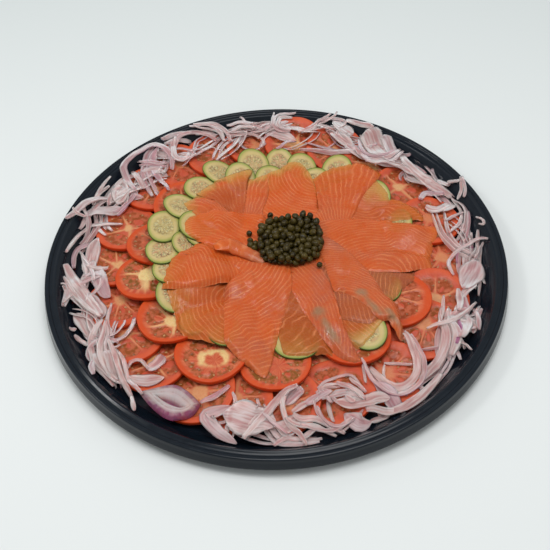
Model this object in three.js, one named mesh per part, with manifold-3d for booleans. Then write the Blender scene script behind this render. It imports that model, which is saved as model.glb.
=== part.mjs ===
// A round catering platter: a black tray with two rings of tomato slices, a ring of
// cucumber slices, a rosette of smoked salmon, a heap of capers and a ring of onion shreds.
// Millimetres, +Z up. The origin is the middle of the tray's underside.
import * as THREE from "three";
import { mergeVertices } from "three/addons/utils/BufferGeometryUtils.js";
import Module from "manifold-3d";

const wasm = await Module();
wasm.setup();

// Driving dimensions
const TRAY_RADIUS = 228.6; // an 18 inch tray
const FLOOR_RADIUS = 200;
const FLOOR_TOP = 2;
const WALL = 1.4;
const LIP_RADIUS = 216; // top of the sloping inner wall
const LIP_TOP = 20.5;
const RIDGE_IN = 222.2; // the raised ring that a lid snaps over
const RIDGE_OUT = 226;
const RIDGE_TOP = 21.5;
const GROOVE_TOP = 19;
const SKIRT_TOP = 17;
const SKIRT_FOOT = 9;
const TRAY_SIDES = 48;

const GAP = 0.35; // between pieces that lie on each other
const TOMATO_SECTORS = 12;
const TOMATO_RINGS = [0.55, 1]; // rings of points, as shares of the radius
const TOMATO_SMOOTHINGS = 10; // the stiffer a slice, the more
const SALMON_SMOOTHINGS = 5;
const ONION_SMOOTHINGS = 2;
const DRAPE_PASSES = 24;
const STEEPEST = 0.42; // the steepest slope of a stiff slice that doesn't slide
const CUCUMBER_SIDES = 16;
const TOMATO_RADIUS = 34.5;
const TOMATO_THICK = 5;
const CUCUMBER_RADIUS = 18.6;
const CUCUMBER_THICK = 3;
const SALMON_THICK = 2.3;
const SIZE_SPREAD = [0.95, 1.03]; // of the round slices, as shares of their radius
const CAPER_RADIUS = 4.1;
const ROSETTE = [5, 8]; // middle of the cucumbers, the salmon and the capers
// The hidden middle of the vegetables, one plain mound
const BED = { x: 5, y: 12, radius: 112, sides: 20, foot: 2.4, shoulder: 8, top: 16.5 };

// Places on the tray: [turn about the tray's middle in degrees, distance from it].
// In each ring a slice lies on the one before it in the list.
const OUTER_TOMATOES = [
  [0, 164],
  [-19, 159],
  [-33, 161],
  [-54, 166],
  [-72, 160],
  [-89, 161],
  [-104, 163],
  [-117, 164],
  [-136, 160],
  [-150, 161],
  [-165, 157],
  [-184, 160],
  [-201, 163],
  [-222, 172],
  [-236, 177],
  [-250, 172],
  [-265, 177],
  [-279, 178],
  [-294, 178],
  [-309, 174],
  [-325, 170],
  [-343, 168],
];
const INNER_TOMATOES = [
  [-26, 126],
  [-54, 119],
  [-92, 119],
  [-118, 131],
  [-146, 120],
  [-172, 121],
  [-194, 120],
  [-222, 125],
];

// Cucumber slices: the same about the middle of the rosette.
const CUCUMBERS = [
  [-55, 134],
  [-84, 117],
  [-151, 118],
  [-169, 110],
  [-182, 117],
  [-197, 121],
  [-213, 119],
  [-228, 121],
  [-242, 129],
  [-259, 127],
  [-283, 125],
  [-300, 132],
  [-325, 124],
];

// Salmon slices from the lowest to the highest. Each is a four-sided sheet: two corners
// at its inner end and two at its outer end, anticlockwise, how far the outer end bulges
// and how far each long edge does.
const SALMON = [
  { inner: [[26, 40], [44, 6]], outer: [[146, 44], [118, 88]], bulge: 5, belly: 0 },
  { inner: [[44, -34], [-12, -26]], outer: [[-4, -118], [54, -120]], bulge: 4, belly: 0 },
  { inner: [[-22, -50], [-28, -2]], outer: [[-108, -40], [-62, -105]], bulge: 12, belly: 3 },
  { inner: [[66, -12], [26, -14]], outer: [[62, -88], [132, -36]], bulge: 14, belly: 0 },
  { inner: [[6, -22], [-12, 24]], outer: [[-92, 8], [-110, -37]], bulge: 8, belly: 4 },
  { inner: [[-14, 40], [32, 18]], outer: [[47, 120], [-6, 122]], bulge: 6, belly: 0 },
  { inner: [[-44, 60], [-4, 34]], outer: [[0, 122], [-91, 80]], bulge: 8, belly: 4 },
  { inner: [[-18, -4], [2, 50]], outer: [[-91, 65], [-84, 18]], bulge: 6, belly: 2 },
  { inner: [[20, 36], [52, 14]], outer: [[118, 102], [46, 110]], bulge: 12, belly: 3 },
  { inner: [[30, 42], [38, -18]], outer: [[150, -30], [166, 28]], bulge: 3, belly: 3 },
  { inner: [[50, -12], [12, -14]], outer: [[57, -128], [75, -130]], bulge: 3, belly: 5 },
  { inner: [[20, -6], [-40, -2]], outer: [[-52, -102], [-9, -143]], bulge: 2, belly: 1 },
  { inner: [[68, 16], [36, -6]], outer: [[106, -110], [117, -106]], bulge: 3, belly: 9 },
];
const SALMON_STEPS = { along: 6, across: 4 };

// Onion shreds that stand out: middle, heading there and bend over the whole length in degrees.
const LARGE_SHREDS = [
  { at: [-137, 165], heading: 10, bend: -200, length: 104, width: 9 },
  { at: [-92, -154], heading: -18, bend: -55, length: 60, width: 9 },
  { at: [-94, -179], heading: -4, bend: 75, length: 62, width: 12 },
  { at: [100, -162], heading: 20, bend: 180, length: 112, width: 10 },
  { at: [-183, -38], heading: -55, bend: 10, length: 70, width: 12 },
  { at: [114, 150], heading: 70, bend: 60, length: 48, width: 22 },
  { at: [112, 131], heading: -5, bend: 95, length: 58, width: 8 },
  { at: [-52, -184], heading: -40, bend: 30, length: 48, width: 16 },
  { at: [-27, -183], heading: -50, bend: -30, length: 40, width: 15 },
  { at: [-10, -182], heading: 50, bend: 0, length: 58, width: 6 },
  { at: [194, 45], heading: -80, bend: -70, length: 72, width: 5 },
  { at: [180, -4], heading: 58, bend: -90, length: 80, width: 5 },
  { at: [6, 194], heading: -85, bend: 150, length: 95, width: 5 },
  { at: [55, 192], heading: 44, bend: 0, length: 58, width: 5 },
  { at: [-30, 194], heading: 20, bend: 20, length: 42, width: 18 },
  { at: [-198, 38], heading: 62, bend: 0, length: 44, width: 5 },
  { at: [163, 94], heading: -40, bend: -20, length: 60, width: 13 },
  { at: [-141, -133], heading: -62, bend: 25, length: 72, width: 5 },
  { at: [144, -118], heading: -70, bend: 10, length: 56, width: 13 },
  { at: [70, -172], heading: 5, bend: -20, length: 50, width: 15 },
];
const SMALL_SHREDS = { count: 18, inner: 172, outer: 208, length: [26, 58], width: [3.2, 8] };
const SHRED_THICK = 2.2;
const SHRED_STEPS = 6;
const SHRED_SINK = 1.3; // how deep a shred is joined to what it crosses
const ONION_RING = { inner: 184, outer: 204, sway: 4, thick: 3, sectors: 48 };

const CAPER_HEAP = { x: 10, y: 13, halfWidth: 37, halfDepth: 32, squareness: 3 };
const CAPER_CORE = { share: 0.86, edge: 4, middle: 10.5, rings: [0.4, 0.75, 0.86], sectors: 16 };
const CAPER_SPACING = 8.6;
const CAPER_SPREAD = [0.88, 1.04]; // of the berries, as shares of their radius
const CAPER_SINK = 1.6; // how deep a berry of the coat sits in the core

const MATERIALS = {
  tray: { color: 0x23292f, roughness: 0.3 },
  bed: { color: 0xb8492c, roughness: 0.5 },
  tomato: { color: 0xd4502f, roughness: 0.4 },
  cucumber: { color: 0xb9c184, roughness: 0.4 },
  salmon: { color: 0xe07c4d, roughness: 0.4 },
  onion: { color: 0xd9c3cb, roughness: 0.35 },
  capers: { color: 0x3f3d26, roughness: 0.35 },
};

const turned = THREE.MathUtils.degToRad;

// A small seeded source of even numbers from 0 to 1.
let seed = 20260;
function random() {
  seed = (seed * 16807) % 2147483647;
  return seed / 2147483647;
}
function between(low, high) {
  return low + (high - low) * random();
}

function polar([turn, distance], [x, y] = [0, 0]) {
  const angle = turned(turn);
  return [x + distance * Math.cos(angle), y + distance * Math.sin(angle)];
}

// The height of everything laid down so far, on a square grid of samples.
const CELL = 1;
const HALF_COUNT = 232;
const COUNT = 2 * HALF_COUNT + 1;
const heights = new Float32Array(COUNT * COUNT);

function column(value) {
  return THREE.MathUtils.clamp(Math.round(value / CELL) + HALF_COUNT, 1, COUNT - 2);
}

function raise(x, y, z) {
  const at = column(y) * COUNT + column(x);
  heights[at] = Math.max(heights[at], z);
}

// The highest sample of the three by three about a place.
function highest(x, y) {
  const middle = column(y) * COUNT + column(x);
  let top = 0;
  for (const row of [-COUNT, 0, COUNT])
    for (const side of [-1, 0, 1]) top = Math.max(top, heights[middle + row + side]);
  return top;
}

// Calls visit(x, y, z, weights) for each sample of the grid inside a triangle seen from above.
function eachSample(a, b, c, visit) {
  const area = (b[0] - a[0]) * (c[1] - a[1]) - (c[0] - a[0]) * (b[1] - a[1]);
  if (Math.abs(area) < 1e-6) return;
  const low = [0, 1].map((k) => Math.floor(Math.min(a[k], b[k], c[k]) / CELL));
  const high = [0, 1].map((k) => Math.ceil(Math.max(a[k], b[k], c[k]) / CELL));
  for (let i = low[0]; i <= high[0]; i++) {
    for (let j = low[1]; j <= high[1]; j++) {
      const [x, y] = [i * CELL, j * CELL];
      const v = ((x - a[0]) * (c[1] - a[1]) - (c[0] - a[0]) * (y - a[1])) / area;
      const w = ((b[0] - a[0]) * (y - a[1]) - (x - a[0]) * (b[1] - a[1])) / area;
      const u = 1 - v - w;
      if (Math.min(u, v, w) < -0.02) continue;
      visit(x, y, u * a[2] + v * b[2] + w * c[2], [u, v, w]);
    }
  }
}

// Adds a mesh to the heights: its faces, and its edges in small steps.
// What lies on a sunk mesh goes that far into it, so that the two can be joined.
function layDown(mesh, sink = 0) {
  mesh.updateMatrixWorld(true);
  const geometry = mesh.geometry.index ? mesh.geometry.toNonIndexed() : mesh.geometry;
  const position = geometry.getAttribute("position");
  const down = new THREE.Vector3(0, 0, -sink);
  const corner = (i) => {
    const point = new THREE.Vector3().fromBufferAttribute(position, i);
    return point.applyMatrix4(mesh.matrixWorld).add(down).toArray();
  };
  for (let i = 0; i < position.count; i += 3) {
    const face = [corner(i), corner(i + 1), corner(i + 2)];
    eachSample(...face, (x, y, z) => raise(x, y, z));
    face.forEach((from, k) => {
      const to = face[(k + 1) % 3];
      const steps = Math.ceil(Math.hypot(to[0] - from[0], to[1] - from[1])) + 1;
      for (let s = 0; s <= steps; s++) {
        const [x, y, z] = from.map((value, axis) => value + ((to[axis] - value) * s) / steps);
        raise(x, y, z);
      }
    });
  }
}

// A mesh as a manifold-3d solid, and back.
function solidOf(geometry) {
  const bare = geometry.clone();
  bare.deleteAttribute("normal");
  bare.deleteAttribute("uv");
  const merged = mergeVertices(bare, 1e-4);
  return new wasm.Manifold(
    new wasm.Mesh({
      numProp: 3,
      vertProperties: merged.getAttribute("position").array,
      triVerts: new Uint32Array(merged.index.array),
    }),
  );
}

function geometryOf(solid) {
  const mesh = solid.getMesh();
  return new THREE.BufferGeometry()
    .setAttribute("position", new THREE.BufferAttribute(mesh.vertProperties, 3))
    .setIndex(new THREE.BufferAttribute(mesh.triVerts, 1));
}

// The largest body of several solids joined into one.
function fused(solids) {
  const whole = solids.reduce((sum, solid) => sum.add(solid));
  return whole.decompose().sort((a, b) => b.volume() - a.volume())[0];
}

const platter = new THREE.Group();

function place(name, geometry, material) {
  const mesh = new THREE.Mesh(geometry, new THREE.MeshStandardMaterial(material));
  mesh.name = name;
  platter.add(mesh);
  return mesh;
}

// A closed solid turned about +Z from a profile of [radius, height] that starts and ends on the axis.
function turnedSolid(profile, sides) {
  const points = profile.map(([radius, height]) => new THREE.Vector2(radius, height));
  return new THREE.LatheGeometry(points, sides).rotateX(Math.PI / 2);
}

// A closed solid between a lower and an upper sheet over one plan of [x, y] points.
function slab(plan, faces, lower, upper) {
  const count = plan.length;
  const vertices = [
    ...plan.flatMap(([x, y], i) => [x, y, lower[i]]),
    ...plan.flatMap(([x, y], i) => [x, y, upper[i]]),
  ];
  const index = [];
  const border = new Set();
  for (const [a, b, c] of faces) {
    index.push(a, c, b, a + count, b + count, c + count);
    for (const [from, to] of [[a, b], [b, c], [c, a]])
      if (!border.delete(`${to} ${from}`)) border.add(`${from} ${to}`);
  }
  for (const edge of border) {
    const [from, to] = edge.split(" ").map(Number);
    index.push(from, to, to + count, from, to + count, from + count);
  }
  return new THREE.BufferGeometry()
    .setAttribute("position", new THREE.Float32BufferAttribute(vertices, 3))
    .setIndex(index);
}

// The two triangles of each cell of a grid; a closed grid joins its last column to its first.
function gridFaces(columns, rows, closed = false) {
  const faces = [];
  const at = (i, j) => (i % columns) * rows + j;
  for (let i = 0; i < columns - (closed ? 0 : 1); i++) {
    for (let j = 0; j < rows - 1; j++) {
      const [a, b, c, d] = [at(i, j), at(i, j + 1), at(i + 1, j + 1), at(i + 1, j)];
      faces.push([a, d, c], [a, c, b]);
    }
  }
  return faces;
}

// The lower face of a limp sheet that lies on the pile, in [x, y] points and their heights.
// More smoothings make a stiffer sheet.
function drape(plan, faces, smoothings) {
  const sheet = plan.map(([x, y]) => highest(x, y) + GAP);
  const neighbours = plan.map(() => new Set());
  for (const face of faces)
    for (const a of face) for (const b of face) if (a !== b) neighbours[a].add(b);
  for (let pass = 0; pass < smoothings + DRAPE_PASSES; pass++) {
    if (pass < smoothings) smooth(sheet, neighbours);
    for (const face of faces) {
      const corners = face.map((i) => [...plan[i], sheet[i]]);
      eachSample(...corners, (x, y, z, weights) => {
        const have = face.reduce((sum, i, k) => sum + weights[k] * sheet[i], 0);
        const missing = highest(x, y) + GAP - have;
        if (missing <= 0) return;
        const share = weights.reduce((sum, weight) => sum + weight * weight, 0);
        face.forEach((i, k) => {
          sheet[i] += (Math.max(weights[k], 0) * missing) / share;
        });
      });
    }
  }
  return sheet;
}

function smooth(sheet, neighbours) {
  const before = [...sheet];
  neighbours.forEach((around, i) => {
    const mean = [...around].reduce((sum, j) => sum + before[j], 0) / around.size;
    sheet[i] = (before[i] + mean) / 2;
  });
}

// Lays a stiff disc down: the tilt that lets its middle lie lowest on the pile.
function settle(mesh, x, y, radius) {
  const under = [];
  for (let dx = -radius; dx <= radius; dx += CELL)
    for (let dy = -radius; dy <= radius; dy += CELL)
      if (Math.hypot(dx, dy) <= radius) under.push([dx, dy, highest(x + dx, y + dy)]);
  const lift = ([a, b]) =>
    under.reduce((most, [dx, dy, z]) => Math.max(most, z - a * dx - b * dy), 0);
  let slope = [0, 0];
  let low = lift(slope);
  for (let step = 0.1; step > 0.001; ) {
    const tries = [[step, 0], [-step, 0], [0, step], [0, -step], [step, step], [-step, step]];
    const better = tries
      .flatMap(([a, b]) => [[slope[0] + a, slope[1] + b], [slope[0] - a, slope[1] - b]])
      .filter(([a, b]) => Math.hypot(a, b) < STEEPEST)
      .map((tilt) => [lift(tilt), tilt])
      .sort((p, q) => p[0] - q[0])[0];
    if (better && better[0] < low - 1e-4) [low, slope] = better;
    else step /= 2;
  }
  const up = new THREE.Vector3(-slope[0], -slope[1], 1).normalize();
  mesh.quaternion.setFromUnitVectors(new THREE.Vector3(0, 0, 1), up);
  mesh.position.set(x, y, low + GAP);
  layDown(mesh);
}

// Tray: a thin formed sheet with a sloping wall, a lid ridge and a flared skirt.
const trayTop = [
  [FLOOR_RADIUS, FLOOR_TOP],
  [LIP_RADIUS, LIP_TOP],
  [LIP_RADIUS + 3, GROOVE_TOP],
  [RIDGE_IN - 1, GROOVE_TOP],
  [RIDGE_IN, RIDGE_TOP],
  [RIDGE_OUT, RIDGE_TOP],
  [RIDGE_OUT + 0.4, SKIRT_TOP],
  [TRAY_RADIUS, SKIRT_FOOT],
];
const trayUnder = [
  [TRAY_RADIUS - WALL, SKIRT_FOOT],
  [RIDGE_OUT - WALL, SKIRT_TOP - 1],
  [RIDGE_OUT - WALL, GROOVE_TOP - WALL],
  [LIP_RADIUS + 1, GROOVE_TOP - WALL],
  [FLOOR_RADIUS + 0.8, 0],
];
const tray = place(
  "tray",
  turnedSolid([[0, FLOOR_TOP], ...trayTop, ...trayUnder, [0, 0]].reverse(), TRAY_SIDES),
  MATERIALS.tray,
);
layDown(tray);

// The hidden middle of the vegetables.
const bed = place(
  "bed",
  turnedSolid(
    [
      [0, BED.foot],
      [BED.radius, BED.foot],
      [BED.radius, BED.shoulder],
      [0.5 * BED.radius, BED.top],
      [0, BED.top],
    ],
    BED.sides,
  ),
  MATERIALS.bed,
);
bed.position.set(BED.x, BED.y, 0);
layDown(bed);

// A round plan: its middle, then rings of points, with the faces between them.
// at(angle, share) gives the point at a share of the way out.
function roundPlan(at, shares, sectors) {
  const plan = [at(0, 0)];
  const faces = [];
  const point = (ring, k) => 1 + ring * sectors + (k % sectors);
  shares.forEach((share, ring) => {
    for (let k = 0; k < sectors; k++) {
      plan.push(at((2 * Math.PI * k) / sectors, share));
      if (ring === 0) faces.push([0, point(0, k), point(0, k + 1)]);
      else {
        const [a, b] = [point(ring - 1, k), point(ring, k)];
        const [c, d] = [point(ring, k + 1), point(ring - 1, k + 1)];
        faces.push([a, b, c], [a, c, d]);
      }
    }
  });
  return { plan, faces };
}

function layTomato(name, [x, y], radius) {
  const at = (angle, share) => [
    x + share * radius * Math.cos(angle),
    y + share * radius * Math.sin(angle),
  ];
  const { plan, faces } = roundPlan(at, TOMATO_RINGS, TOMATO_SECTORS);
  const lower = drape(plan, faces, TOMATO_SMOOTHINGS);
  const upper = lower.map((z) => z + TOMATO_THICK);
  layDown(place(name, slab(plan, faces, lower, upper), MATERIALS.tomato));
}

function layCucumber(name, [x, y], radius) {
  const profile = [
    [0, 0],
    [radius, 0],
    [radius, CUCUMBER_THICK],
    [0, CUCUMBER_THICK],
  ];
  settle(place(name, turnedSolid(profile, CUCUMBER_SIDES), MATERIALS.cucumber), x, y, radius);
}

function layRing(kind, lay, places, middle, radius) {
  places.forEach((at, i) => {
    const name = `${kind}_${String(i + 1).padStart(2, "0")}`;
    lay(name, polar(at, middle), radius * between(...SIZE_SPREAD));
  });
}

layRing("tomato_outer", layTomato, OUTER_TOMATOES, [0, 0], TOMATO_RADIUS);
layRing("tomato_inner", layTomato, INNER_TOMATOES, [0, 0], TOMATO_RADIUS);
layRing("cucumber", layCucumber, CUCUMBERS, ROSETTE, CUCUMBER_RADIUS);

// Salmon: thin sheets draped one over another.
function salmonPlan({ inner, outer, bulge, belly }) {
  const { along, across } = SALMON_STEPS;
  const mix = (a, b, t) => [a[0] + (b[0] - a[0]) * t, a[1] + (b[1] - a[1]) * t];
  const start = mix(inner[0], inner[1], 0.5);
  const run = mix(outer[0], outer[1], 0.5).map((value, k) => value - start[k]);
  const [ahead, aside] = [run, [-run[1], run[0]]].map((way) =>
    way.map((value) => value / Math.hypot(...run)),
  );
  const plan = [];
  for (let i = 0; i <= along; i++) {
    for (let j = 0; j <= across; j++) {
      const [s, t] = [i / along, j / across];
      const left = mix(inner[0], outer[1], s);
      const right = mix(inner[1], outer[0], s);
      const [x, y] = mix(right, left, t);
      const push = bulge * Math.sin(Math.PI * t) * s;
      const spread = belly * Math.sin(Math.PI * s) * (2 * t - 1);
      plan.push([
        x + push * ahead[0] + spread * aside[0],
        y + push * ahead[1] + spread * aside[1],
      ]);
    }
  }
  return plan;
}

SALMON.forEach((slice, i) => {
  const plan = salmonPlan(slice);
  const faces = gridFaces(SALMON_STEPS.along + 1, SALMON_STEPS.across + 1);
  const lower = drape(plan, faces, SALMON_SMOOTHINGS);
  const upper = lower.map((z) => z + SALMON_THICK);
  const name = `salmon_${String(i + 1).padStart(2, "0")}`;
  layDown(place(name, slab(plan, faces, lower, upper), MATERIALS.salmon));
});

// Capers: a low core with a coat of few-sided berries joined on.
function inHeap(angle, share) {
  const { x, y, halfWidth, halfDepth, squareness } = CAPER_HEAP;
  const across = Math.abs(Math.cos(angle) / halfWidth) ** squareness;
  const along = Math.abs(Math.sin(angle) / halfDepth) ** squareness;
  const reach = share * (across + along) ** (-1 / squareness);
  return [x + reach * Math.cos(angle), y + reach * Math.sin(angle)];
}

// The share of the way out to the edge of the heap.
function shareOfHeap(x, y) {
  const { halfWidth, halfDepth, squareness } = CAPER_HEAP;
  const across = Math.abs((x - CAPER_HEAP.x) / halfWidth) ** squareness;
  const along = Math.abs((y - CAPER_HEAP.y) / halfDepth) ** squareness;
  return (across + along) ** (1 / squareness);
}

function coreHeight(share) {
  const inward = 1 - Math.min(share / CAPER_CORE.share, 1) ** 2;
  return CAPER_CORE.edge + (CAPER_CORE.middle - CAPER_CORE.edge) * inward;
}

// The lowest middle of a ball that clears the pile.
function ballRest(x, y, radius) {
  let rest = 0;
  for (let dx = -radius; dx <= radius; dx += CELL)
    for (let dy = -radius; dy <= radius; dy += CELL) {
      const under = radius * radius - dx * dx - dy * dy;
      if (under > 0) rest = Math.max(rest, highest(x + dx, y + dy) + Math.sqrt(under));
    }
  return rest + GAP;
}

// The places of the berries: a loose honeycomb over the heap.
function berries() {
  const places = [];
  const rowStep = (CAPER_SPACING * Math.sqrt(3)) / 2;
  const rows = Math.ceil(CAPER_HEAP.halfDepth / rowStep);
  const most = Math.ceil(CAPER_HEAP.halfWidth / CAPER_SPACING);
  for (let row = -rows; row <= rows; row++) {
    for (let i = -most; i <= most; i++) {
      const shift = row % 2 === 0 ? 0 : 0.5;
      const x = CAPER_HEAP.x + (i + shift) * CAPER_SPACING + between(-1, 1);
      const y = CAPER_HEAP.y + row * rowStep + between(-1, 1);
      const radius = CAPER_RADIUS * between(...CAPER_SPREAD);
      if (shareOfHeap(x, y) <= 1) places.push({ x, y, radius });
    }
  }
  return places;
}

function berry({ x, y, radius }, z) {
  const geometry = new THREE.IcosahedronGeometry(radius, 0);
  return solidOf(geometry.rotateX(between(0, 3)).rotateY(between(0, 3)).translate(x, y, z));
}

function caperHeap() {
  const isFoot = ({ x, y }) => shareOfHeap(x, y) > CAPER_CORE.share;
  const places = berries();
  const foot = places.filter(isFoot).map((at) => berry(at, ballRest(at.x, at.y, at.radius)));
  const { plan, faces } = roundPlan(inHeap, CAPER_CORE.rings, CAPER_CORE.sectors);
  const lower = drape(plan, faces, SALMON_SMOOTHINGS);
  const upper = lower.map((z, i) => z + coreHeight(shareOfHeap(...plan[i])));
  const core = slab(plan, faces, lower, upper);
  layDown(new THREE.Mesh(core), CAPER_SINK);
  const coat = places
    .filter((at) => !isFoot(at))
    .map((at) => berry(at, ballRest(at.x, at.y, at.radius)));
  return geometryOf(fused([solidOf(core), ...foot, ...coat]));
}
layDown(place("capers", caperHeap(), MATERIALS.capers));

// Onion: a low uneven ring with curved shreds joined on.
function ringPlan() {
  const { inner, outer, sway, sectors } = ONION_RING;
  const plan = [];
  for (let i = 0; i < sectors; i++) {
    const turn = (360 * i) / sectors;
    const wave = sway * Math.sin(turned(7 * turn)) + sway * Math.sin(turned(4 * turn + 50));
    for (const distance of [outer, (inner + outer + wave) / 2, inner + wave])
      plan.push(polar([turn, distance]));
  }
  return plan;
}

function shredPlan({ at, heading, bend, length, width }) {
  const plan = [];
  const start = turned(heading);
  for (let i = 0; i <= SHRED_STEPS; i++) {
    const along = i / SHRED_STEPS - 0.5;
    const direction = start + turned(bend) * along;
    const chord = (start + direction) / 2;
    const half = (direction - start) / 2;
    const reach = length * along * (half === 0 ? 1 : Math.sin(half) / half);
    const taper = 1 - 0.5 * (2 * along) ** 4;
    for (const side of [-0.5, 0.5]) {
      const off = side * width * taper;
      plan.push([
        at[0] + reach * Math.cos(chord) - off * Math.sin(direction),
        at[1] + reach * Math.sin(chord) + off * Math.cos(direction),
      ]);
    }
  }
  return plan;
}

function smallShred() {
  const turn = between(0, 360);
  const [x, y] = polar([turn, between(SMALL_SHREDS.inner, SMALL_SHREDS.outer)]);
  return {
    at: [x, y],
    heading: turn + 90 + between(-60, 60),
    bend: between(-120, 120),
    length: between(...SMALL_SHREDS.length),
    width: between(...SMALL_SHREDS.width),
  };
}

function onionRing() {
  const solids = [];
  const lay = (plan, faces, thick) => {
    const lower = drape(plan, faces, ONION_SMOOTHINGS);
    const geometry = slab(plan, faces, lower, lower.map((z) => z + thick));
    layDown(new THREE.Mesh(geometry), SHRED_SINK);
    solids.push(solidOf(geometry));
  };
  lay(ringPlan(), gridFaces(ONION_RING.sectors, 3, true), ONION_RING.thick);
  const shreds = [...LARGE_SHREDS];
  for (let i = 0; i < SMALL_SHREDS.count; i++) shreds.push(smallShred());
  for (const shred of shreds) lay(shredPlan(shred), gridFaces(SHRED_STEPS + 1, 2), SHRED_THICK);
  return geometryOf(fused(solids));
}
place("onion", onionRing(), MATERIALS.onion);

export default platter;
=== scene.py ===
"""Dresses a round catering platter: smoked salmon, capers, cucumber, tomato and red onion on a black tray."""

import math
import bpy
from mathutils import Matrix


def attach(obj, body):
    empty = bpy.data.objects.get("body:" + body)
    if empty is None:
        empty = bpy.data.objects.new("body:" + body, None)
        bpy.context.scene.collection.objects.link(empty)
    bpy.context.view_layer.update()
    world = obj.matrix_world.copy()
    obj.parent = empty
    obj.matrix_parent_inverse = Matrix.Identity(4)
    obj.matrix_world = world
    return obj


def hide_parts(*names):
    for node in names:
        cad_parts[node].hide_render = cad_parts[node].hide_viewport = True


bl_info = {
    "name": "Smoked salmon platter",
    "version": (1, 0, 0),
    "blender": (4, 5, 0),
    "location": "View3D > Sidebar > Platter",
    "description": "Builds the visible food and tray of a smoked salmon platter over its solids",
    "category": "Object",
}

import bpy
import numpy as np
from bpy.props import FloatProperty, FloatVectorProperty, IntProperty, PointerProperty, StringProperty
from mathutils import Matrix, Vector

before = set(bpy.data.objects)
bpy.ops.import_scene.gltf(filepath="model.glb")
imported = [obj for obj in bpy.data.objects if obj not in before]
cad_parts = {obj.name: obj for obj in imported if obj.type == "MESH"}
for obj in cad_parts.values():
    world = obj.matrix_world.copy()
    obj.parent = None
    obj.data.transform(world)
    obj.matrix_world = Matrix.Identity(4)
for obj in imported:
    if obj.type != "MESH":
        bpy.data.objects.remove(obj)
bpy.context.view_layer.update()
MM = 0.001
BODY = "root"
rng = np.random.default_rng(41)
CAMERA = {"distance": 904.9, "elevation": 49.29, "yaw": 0.05, "pitch": -0.32, "roll": 2.47}


# ---------------------------------------------------------------- small tools


def linear(code, alpha=1.0):
    """An sRGB hex colour as linear RGBA."""
    channels = [int(code[i : i + 2], 16) / 255 for i in (1, 3, 5)]
    return tuple(c / 12.92 if c <= 0.04045 else ((c + 0.055) / 1.055) ** 2.4 for c in channels) + (alpha,)


def per(size):
    """A texture scale whose pattern is this many millimetres across."""
    return 1000.0 / size


def add(tree, kind, inputs=None, **settings):
    """Adds a node: settings are its properties, inputs are values or sockets by name or number."""
    made = tree.nodes.new(kind)
    for name, value in settings.items():
        setattr(made, name, value)
    for name, value in (inputs or {}).items():
        if isinstance(value, bpy.types.NodeSocket):
            tree.links.new(value, made.inputs[name])
        else:
            made.inputs[name].default_value = value
    return made


def ease(low, high, value):
    """Runs smoothly from 0 at low to 1 at high."""
    t = np.clip((value - low) / (high - low), 0, 1)
    return t * t * (3 - 2 * t)


def wobble(angle, count, seed, falloff=1.0):
    """A smooth closed random curve over an angle, about 0 to 1 in size."""
    draw = np.random.default_rng(seed)
    total = np.zeros_like(angle)
    for k in range(2, count + 2):
        total += draw.normal() / k**falloff * np.sin(k * angle + draw.uniform(0, 6.28))
    return total


def value_noise(x, y, size, seed):
    """Smooth random relief over the plane, -1 to 1, with lumps about size across."""
    draw = np.random.default_rng(seed)
    table = draw.uniform(-1, 1, (64, 64))
    u, v = np.asarray(x) / size + 1000.0, np.asarray(y) / size + 1000.0
    i, j = np.floor(u).astype(int), np.floor(v).astype(int)
    a, b = u - i, v - j
    a, b = a * a * (3 - 2 * a), b * b * (3 - 2 * b)
    at = lambda p, q: table[p % 64, q % 64]
    low = at(i, j) * (1 - a) + at(i + 1, j) * a
    high = at(i, j + 1) * (1 - a) + at(i + 1, j + 1) * a
    return low * (1 - b) + high * b


# ---------------------------------------------------------------- meshes


def make_piece(name, points, faces, material, layers=None, stands_for=()):
    """A smooth mesh piece from points in millimetres and arrays of faces, with named vertex layers."""
    mesh = bpy.data.meshes.new(name)
    points = np.asarray(points, float)
    mesh.vertices.add(len(points))
    mesh.vertices.foreach_set("co", (points * MM).ravel())
    groups = [np.asarray(group, np.int32) for group in faces if len(group)]
    loops = np.concatenate([group.ravel() for group in groups])
    sizes = np.concatenate([np.full(len(group), group.shape[1], np.int32) for group in groups])
    mesh.loops.add(len(loops))
    mesh.loops.foreach_set("vertex_index", loops)
    mesh.polygons.add(len(sizes))
    mesh.polygons.foreach_set("loop_start", np.concatenate([[0], np.cumsum(sizes)[:-1]]).astype(np.int32))
    mesh.update(calc_edges=True)
    mesh.validate()
    mesh.shade_smooth()
    for layer, values in (layers or {}).items():
        values = np.asarray(values, np.float32)
        kind = "FLOAT" if values.ndim == 1 else "FLOAT_VECTOR"
        attribute = mesh.attributes.new(layer, kind, "POINT")
        attribute.data.foreach_set("value" if values.ndim == 1 else "vector", values.ravel())
    mesh.materials.append(material)
    made = bpy.data.objects.new(name, mesh)
    bpy.context.scene.collection.objects.link(made)
    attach(made, BODY)
    if stands_for:
        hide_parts(*stands_for)
    return made


def ring_faces(rings, sides, first_pole=False, last_pole=False):
    """Faces of closed rings one after another, with a pole point before the first and after the last."""
    start = 1 if first_pole else 0
    k = np.arange(sides)
    following = (k + 1) % sides
    quads = []
    for i in range(rings - 1):
        a, b = start + i * sides, start + (i + 1) * sides
        quads.append(np.stack([a + k, a + following, b + following, b + k], 1))
    tris = []
    if first_pole:
        tris.append(np.stack([np.zeros_like(k), start + following, start + k], 1))
    if last_pole:
        last = start + (rings - 1) * sides
        tris.append(np.stack([np.full_like(k, start + rings * sides), last + k, last + following], 1))
    return [np.concatenate(quads)] + ([np.concatenate(tris)] if tris else [])


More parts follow.
